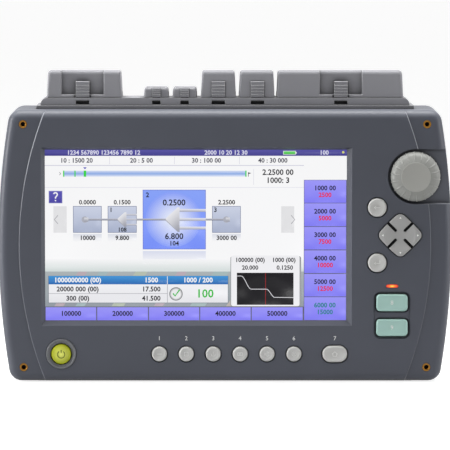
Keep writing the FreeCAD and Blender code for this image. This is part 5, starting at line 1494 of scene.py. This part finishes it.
def drawPicture():
    # boxes, lines and figures from the back level to the front one, in the order they lie on the screen
    white, ink = hue(254, 254, 255), hue(14, 14, 22)
    violet, violetHigh, greyLine = hue(132, 127, 252), hue(160, 155, 255), hue(205, 205, 222)
    band, blueLine, metalLow = hue(96, 96, 118), hue(150, 180, 235), hue(150, 152, 165)
    drawBox(0, 1, 0, 1, 1, white)
    drawBox(0, 1, 0.964, 1, 2, hue(62, 58, 140), hue(84, 80, 165))
    for text, u in (("1234 567890 123456 7890 12", 0.195), ("2000 10 20 12 30", 0.60), ("100", 0.925)):
        drawFigures(text, u, 0.982, 3.1, 4, hue(225, 225, 245))
    drawBox(0.789, 0.831, 0.971, 0.993, 3, hue(225, 235, 225))
    drawBox(0.791, 0.829, 0.974, 0.990, 4, hue(60, 190, 60), hue(110, 225, 110))
    drawBox(0.831, 0.834, 0.977, 0.987, 4, hue(225, 235, 225))
    drawRound(0.988, 0.985, 0.75, 16, 4, hue(215, 215, 120))
    for u in (0.214, 0.429, 0.644):
        drawBox(u, u + 0.0012, 0.915, 0.958, 2, greyLine)
    drawBox(0, 0.858, 0.906, 0.910, 2, greyLine)
    for text, u in (("10 : 1500 20", 0.105), ("20 : 5 00", 0.32), ("30 : 100 00", 0.535),
                    ("40 : 30 000", 0.755)):
        drawFigures(text, u, 0.936, 3.3, 2, hue(70, 70, 85))
    drawBox(0.061, 0.665, 0.858, 0.862, 2, blueLine)
    drawBox(0.061, 0.665, 0.843, 0.858, 2, hue(225, 233, 252), blueLine)
    drawBox(0.061, 0.665, 0.862, 0.877, 2, blueLine, hue(215, 225, 250))
    for u0, u1 in ((0.0605, 0.0645), (0.098, 0.102), (0.129, 0.137), (0.664, 0.668)):
        drawBox(u0, u1, 0.842, 0.878, 3, hue(45, 215, 60))
    drawLoop(pictureSpot([0.127, 0.133, 0.139], [0.897, 0.886, 0.897]), 3, hue(60, 60, 190))
    drawLoop(pictureSpot([0.674, 0.684, 0.674], [0.868, 0.863, 0.858]), 3, ink)
    drawBox(0.673, 0.675, 0.843, 0.868, 3, ink)
    drawLine([[0.048, 0.868], [0.053, 0.860], [0.048, 0.852]], 0.35, 2, hue(90, 90, 100))
    drawBox(0.691, 0.692, 0.795, 0.888, 2, greyLine)
    drawFigures("2.2500 00", 0.772, 0.867, 4.0, 2, ink)
    drawFigures("1000: 3", 0.772, 0.820, 4.0, 2, ink)
    drawBox(0, 0.858, 0.778, 0.781, 2, hue(228, 228, 238))
    drawFrame(0.0125, 0.058, 0.687, 0.760, 2, hue(150, 150, 200), hue(72, 66, 165), hue(92, 86, 185))
    a = np.radians(np.linspace(165, -50, 9))
    hook = np.stack([0.0062 * np.cos(a), 0.0155 + 0.0105 * np.sin(a)], 1)
    hook = np.concatenate([hook, [[0, -0.003], [0, -0.0085]]])
    drawLine(hook + [0.035, 0.723], 0.75, 5, white)
    drawLine([[0.035, 0.7065], [0.035, 0.6995]], 0.8, 5, white)
    for u0, u1, back, tip in ((0.028, 0.072, 0.043, 0.031), (0.783, 0.826, 0.816, 0.828)):
        drawBox(u0, u1, 0.515, 0.670, 2, hue(232, 232, 234))
        drawLine([[back, 0.617], [tip, 0.592], [back, 0.567]], 0.5, 3, hue(175, 175, 180))
    # the tiles of the fibre, and the line that joins them
    tileLow, tileHigh, tileEdge = hue(172, 182, 208), hue(208, 215, 234), hue(122, 130, 160)
    for u0, u1 in ((0.093, 0.188), (0.208, 0.304), (0.554, 0.649)):
        drawFrame(u0, u1, 0.515, 0.671, 2, tileEdge, tileLow, tileHigh)
        drawBox(u0, u1, 0.463, 0.508, 2, white, hue(226, 229, 238))
    drawFrame(0.324, 0.533, 0.418, 0.766, 2, hue(92, 110, 205), hue(120, 146, 255), hue(138, 166, 255))
    glow = np.array([hue(132, 158, 255), hue(238, 243, 255)])
    for k in range(14):
        tone = glow[0] + (glow[1] - glow[0]) * (k + 1) / 14
        drawRound(0.425, 0.592, 16.5 - 1.1 * k, 28, 4 + k / 2, tone)
    drawBox(0.324, 0.533, 0.330, 0.408, 2, white, hue(222, 226, 244))
    for u0, u1 in ((0.132, 0.241), (0.304, 0.400), (0.533, 0.600)):
        drawBox(u0, u1, 0.587, 0.592, 11, hue(120, 122, 135))
        drawBox(u0, u1, 0.592, 0.598, 11, hue(190, 192, 204))
    for v in (0.620, 0.592, 0.562):
        drawBox(0.270, 0.304, v - 0.004, v + 0.005, 12, metalLow, hue(232, 233, 240))
    for v in (0.645, 0.592, 0.542):
        drawBox(0.444, 0.533, v - 0.008, v + 0.009, 12, hue(160, 163, 182), hue(240, 241, 247))
    for u0, u1, half in ((0.241, 0.270, 0.043), (0.400, 0.446, 0.072)):
        cone = pictureSpot([u0, u1 - 0.006, u1, u1, u1 - 0.006, u0],
                           [0.586, 0.592 - half, 0.592 - half, 0.592 + half, 0.592 + half, 0.598])
        drawLoop(cone, 13, np.array([metalLow] * 3 + [hue(238, 238, 242)] * 3))
    for u0 in (0.120, 0.589):
        drawRound(u0 + 0.012, 0.592, 1.9, 20, 13, hue(175, 177, 188))
        drawBox(u0 + 0.010, u0 + 0.024, 0.580, 0.604, 14, metalLow, hue(228, 229, 235))
    for text, u, v, size in (("0.0000", 0.141, 0.692, 3.2), ("0.1500", 0.256, 0.692, 3.2),
                             ("2.2500", 0.602, 0.692, 3.2), ("0.2500", 0.428, 0.690, 4.3),
                             ("6.800", 0.428, 0.493, 4.3), ("104", 0.428, 0.452, 3.3),
                             ("1", 0.219, 0.648, 3.2), ("2", 0.340, 0.735, 3.4), ("3", 0.565, 0.648, 3.2),
                             ("10000", 0.141, 0.484, 3.2), ("9.800", 0.256, 0.484, 3.2),
                             ("3000 00", 0.602, 0.484, 3.2),
                             ("108", 0.256, 0.532, 3.0)):
        drawFigures(text, u, v, size, 15, ink)
    # the lower band: pale slanting bars, a table, a small trace window
    drawBox(0, 0.858, 0.288, 0.360, 2, hue(214, 224, 222), white)
    drawBox(0, 0.858, 0.082, 0.288, 3, hue(150, 158, 166), hue(176, 184, 186))
    for u0, u1, tone in ((0.03, 0.06, hue(190, 175, 182)), (0.10, 0.13, hue(168, 188, 190)),
                         (0.22, 0.26, hue(186, 196, 180)), (0.36, 0.39, hue(190, 176, 186)),
                         (0.48, 0.53, hue(170, 190, 190)), (0.60, 0.63, hue(192, 184, 176))):
        drawLoop(pictureSpot([u0, u1, u1 + 0.08, u0 + 0.08], [0.085, 0.085, 0.287, 0.287]), 4, tone)
    drawFrame(0.0100, 0.608, 0.103, 0.263, 5, hue(120, 130, 140), hue(236, 236, 240), hue(252, 252, 255))
    for u0, u1 in ((0.0115, 0.4045), (0.4065, 0.6065)):
        drawBox(u0, u1, 0.213, 0.262, 7, hue(22, 100, 178), hue(62, 152, 222))
    drawBox(0.0115, 0.4045, 0.157, 0.161, 7, hue(190, 190, 196))
    drawBox(0.4045, 0.4065, 0.104, 0.213, 7, hue(170, 170, 176))
    for text, u, v, tone in (("1000000000 (00)", 0.108, 0.237, white), ("1500", 0.352, 0.237, white),
                             ("1000 / 200", 0.507, 0.237, white), ("20000 000 (00)", 0.108, 0.184, ink),
                             ("17.500", 0.352, 0.184, ink), ("300 (00)", 0.108, 0.130, ink),
                             ("41.500", 0.352, 0.130, ink)):
        drawFigures(text, u, v, 3.5, 8, tone)
    for k, (radius, *rgb) in enumerate(((4.0, 120, 122, 124), (3.5, 205, 206, 208), (2.9, 240, 240, 242))):
        drawRound(0.434, 0.157, radius, 28, 8 + k, hue(*rgb))
    drawLine([[0.424, 0.160], [0.431, 0.145], [0.446, 0.182]], 0.8, 11, hue(40, 190, 60))
    drawFigures("100", 0.530, 0.157, 6.0, 8, hue(30, 190, 40))
    a, b = pictureSpot(0.617, 0.085), pictureSpot(0.844, 0.382)
    drawLoop(boxOutline(a[0] - 0.4, b[0] + 0.9, a[1] - 0.2, b[1] - 0.4, 1.2, 5)[0], 9, hue(150, 152, 156))
    drawLoop(boxOutline(a[0], b[0], a[1], b[1], 1.2, 5)[0], 10, hue(246, 246, 249))
    for text, u, v in (("100000 (00)", 0.680, 0.355), ("1000 (00)", 0.792, 0.355), ("20.000", 0.680, 0.310),
                       ("0.1250", 0.795, 0.310)):
        drawFigures(text, u, v, 3.1, 12, ink)
    drawBox(0.636, 0.824, 0.093, 0.281, 11, hue(14, 12, 14))
    drawBox(0.7305, 0.7320, 0.093, 0.281, 12, hue(170, 20, 20))
    t = np.linspace(0, 1, 12)
    drop = 0.5 - 0.5 * np.cos(math.pi * t)
    trace = np.concatenate([[[0.636, 0.262], [0.650, 0.262]],
                            np.stack([0.650 + 0.034 * t, 0.262 - 0.077 * drop], 1)[1:],
                            [[0.734, 0.185]], np.stack([0.734 + 0.028 * t, 0.185 - 0.048 * drop], 1)[1:],
                            [[0.824, 0.136]]])
    drawLine(trace, 0.38, 13, hue(225, 225, 230))
    # soft keys down the right side and along the bottom
    drawBox(0.858, 1, 0, 0.824, 3, band)
    rows = [(0.690, 0.822), (0.553, 0.687), (0.417, 0.549), (0.279, 0.412), (0.142, 0.274), (0.004, 0.138)]
    for k, (v0, v1) in enumerate(rows):
        drawBox(0.8595, 0.998, v0, v1, 4, violet, violetHigh)
        mid, last = (v0 + v1) / 2, k == len(rows) - 1
        upper, lower = (hue(10, 130, 135),) * 2 if last else (hue(20, 16, 44), hue(235, 20, 50))
        drawFigures("%d000 00" % (k + 1), 0.928, mid + 0.019, 3.4, 6, upper)
        drawFigures(str((k + 1) * 2500), 0.928, mid - 0.021, 3.3, 6, lower)
    drawBox(0, 0.858, 0, 0.083, 10, band)
    columns = [(0.0015, 0.169), (0.1725, 0.341), (0.3445, 0.511), (0.5145, 0.682), (0.6855, 0.8545)]
    for k, (u0, u1) in enumerate(columns):
        drawBox(u0, u1, 0.003, 0.079, 11, violet, violetHigh)
        drawFigures("%d00000" % (k + 1), (u0 + u1) / 2, 0.041, 3.5, 13, hue(16, 12, 40))


def displayPicture():
    # the panel's body as one slab, and every drawn slab in one mesh that carries its colours
    drawPicture()
    low, high = span("touch_panel")
    face = boxOutline(low[0], high[0], low[2], high[2], 0.6, 3)[0]
    buildPiece("touchPanel", plate(face, low[1], high[1]), "case", black, ["touch_panel"],
               weighted=False)
    mesh = meshFrom("displayPicture", [surface for surfaces, _ in pictureParts for surface in surfaces])
    paint = mesh.color_attributes.new("picture", "FLOAT_COLOR", "POINT")
    colours = np.concatenate([colours for _, colours in pictureParts])
    paint.data.foreach_set("color", colours.astype(np.float32).ravel())
    picture = addObject("displayPicture", mesh)
    mesh.materials.append(litPicture("litDisplay"))
    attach(picture, "case")
    print("display drawn", len(pictureParts), "slabs")


displayPicture()


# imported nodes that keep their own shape
kept = {
    "case_plastic": slate, "rail_plastic": railGrey, "key_plastic": keyGrey, "power_key_plastic": lime,
    "ring_metal": ringSatin, "mint_plastic": mint, "dial_plastic": dialGrey, "brass_insert": brass,
    "steel": steel, "panel_glass": black, "display_face": black, "sheet_metal": sheetMetal,
    "circuit_board": greenBoard, "silicone": siliconeGrey, "rubber_pad": rubber, "lens_plastic": lime,
    "black_plastic": black, "port_metal": nickel,
}
slotOf = {part["node"]: part["material_slot"] for part in frame["record"]["subparts"]}
for node, thing in frame["nodes"].items():
    finish = darkSteel if node == "case_screws" else kept[slotOf[node]]
    thing.data.materials.clear()
    thing.data.materials.append(finish)
print("packed nodes dressed", len(frame["nodes"]))
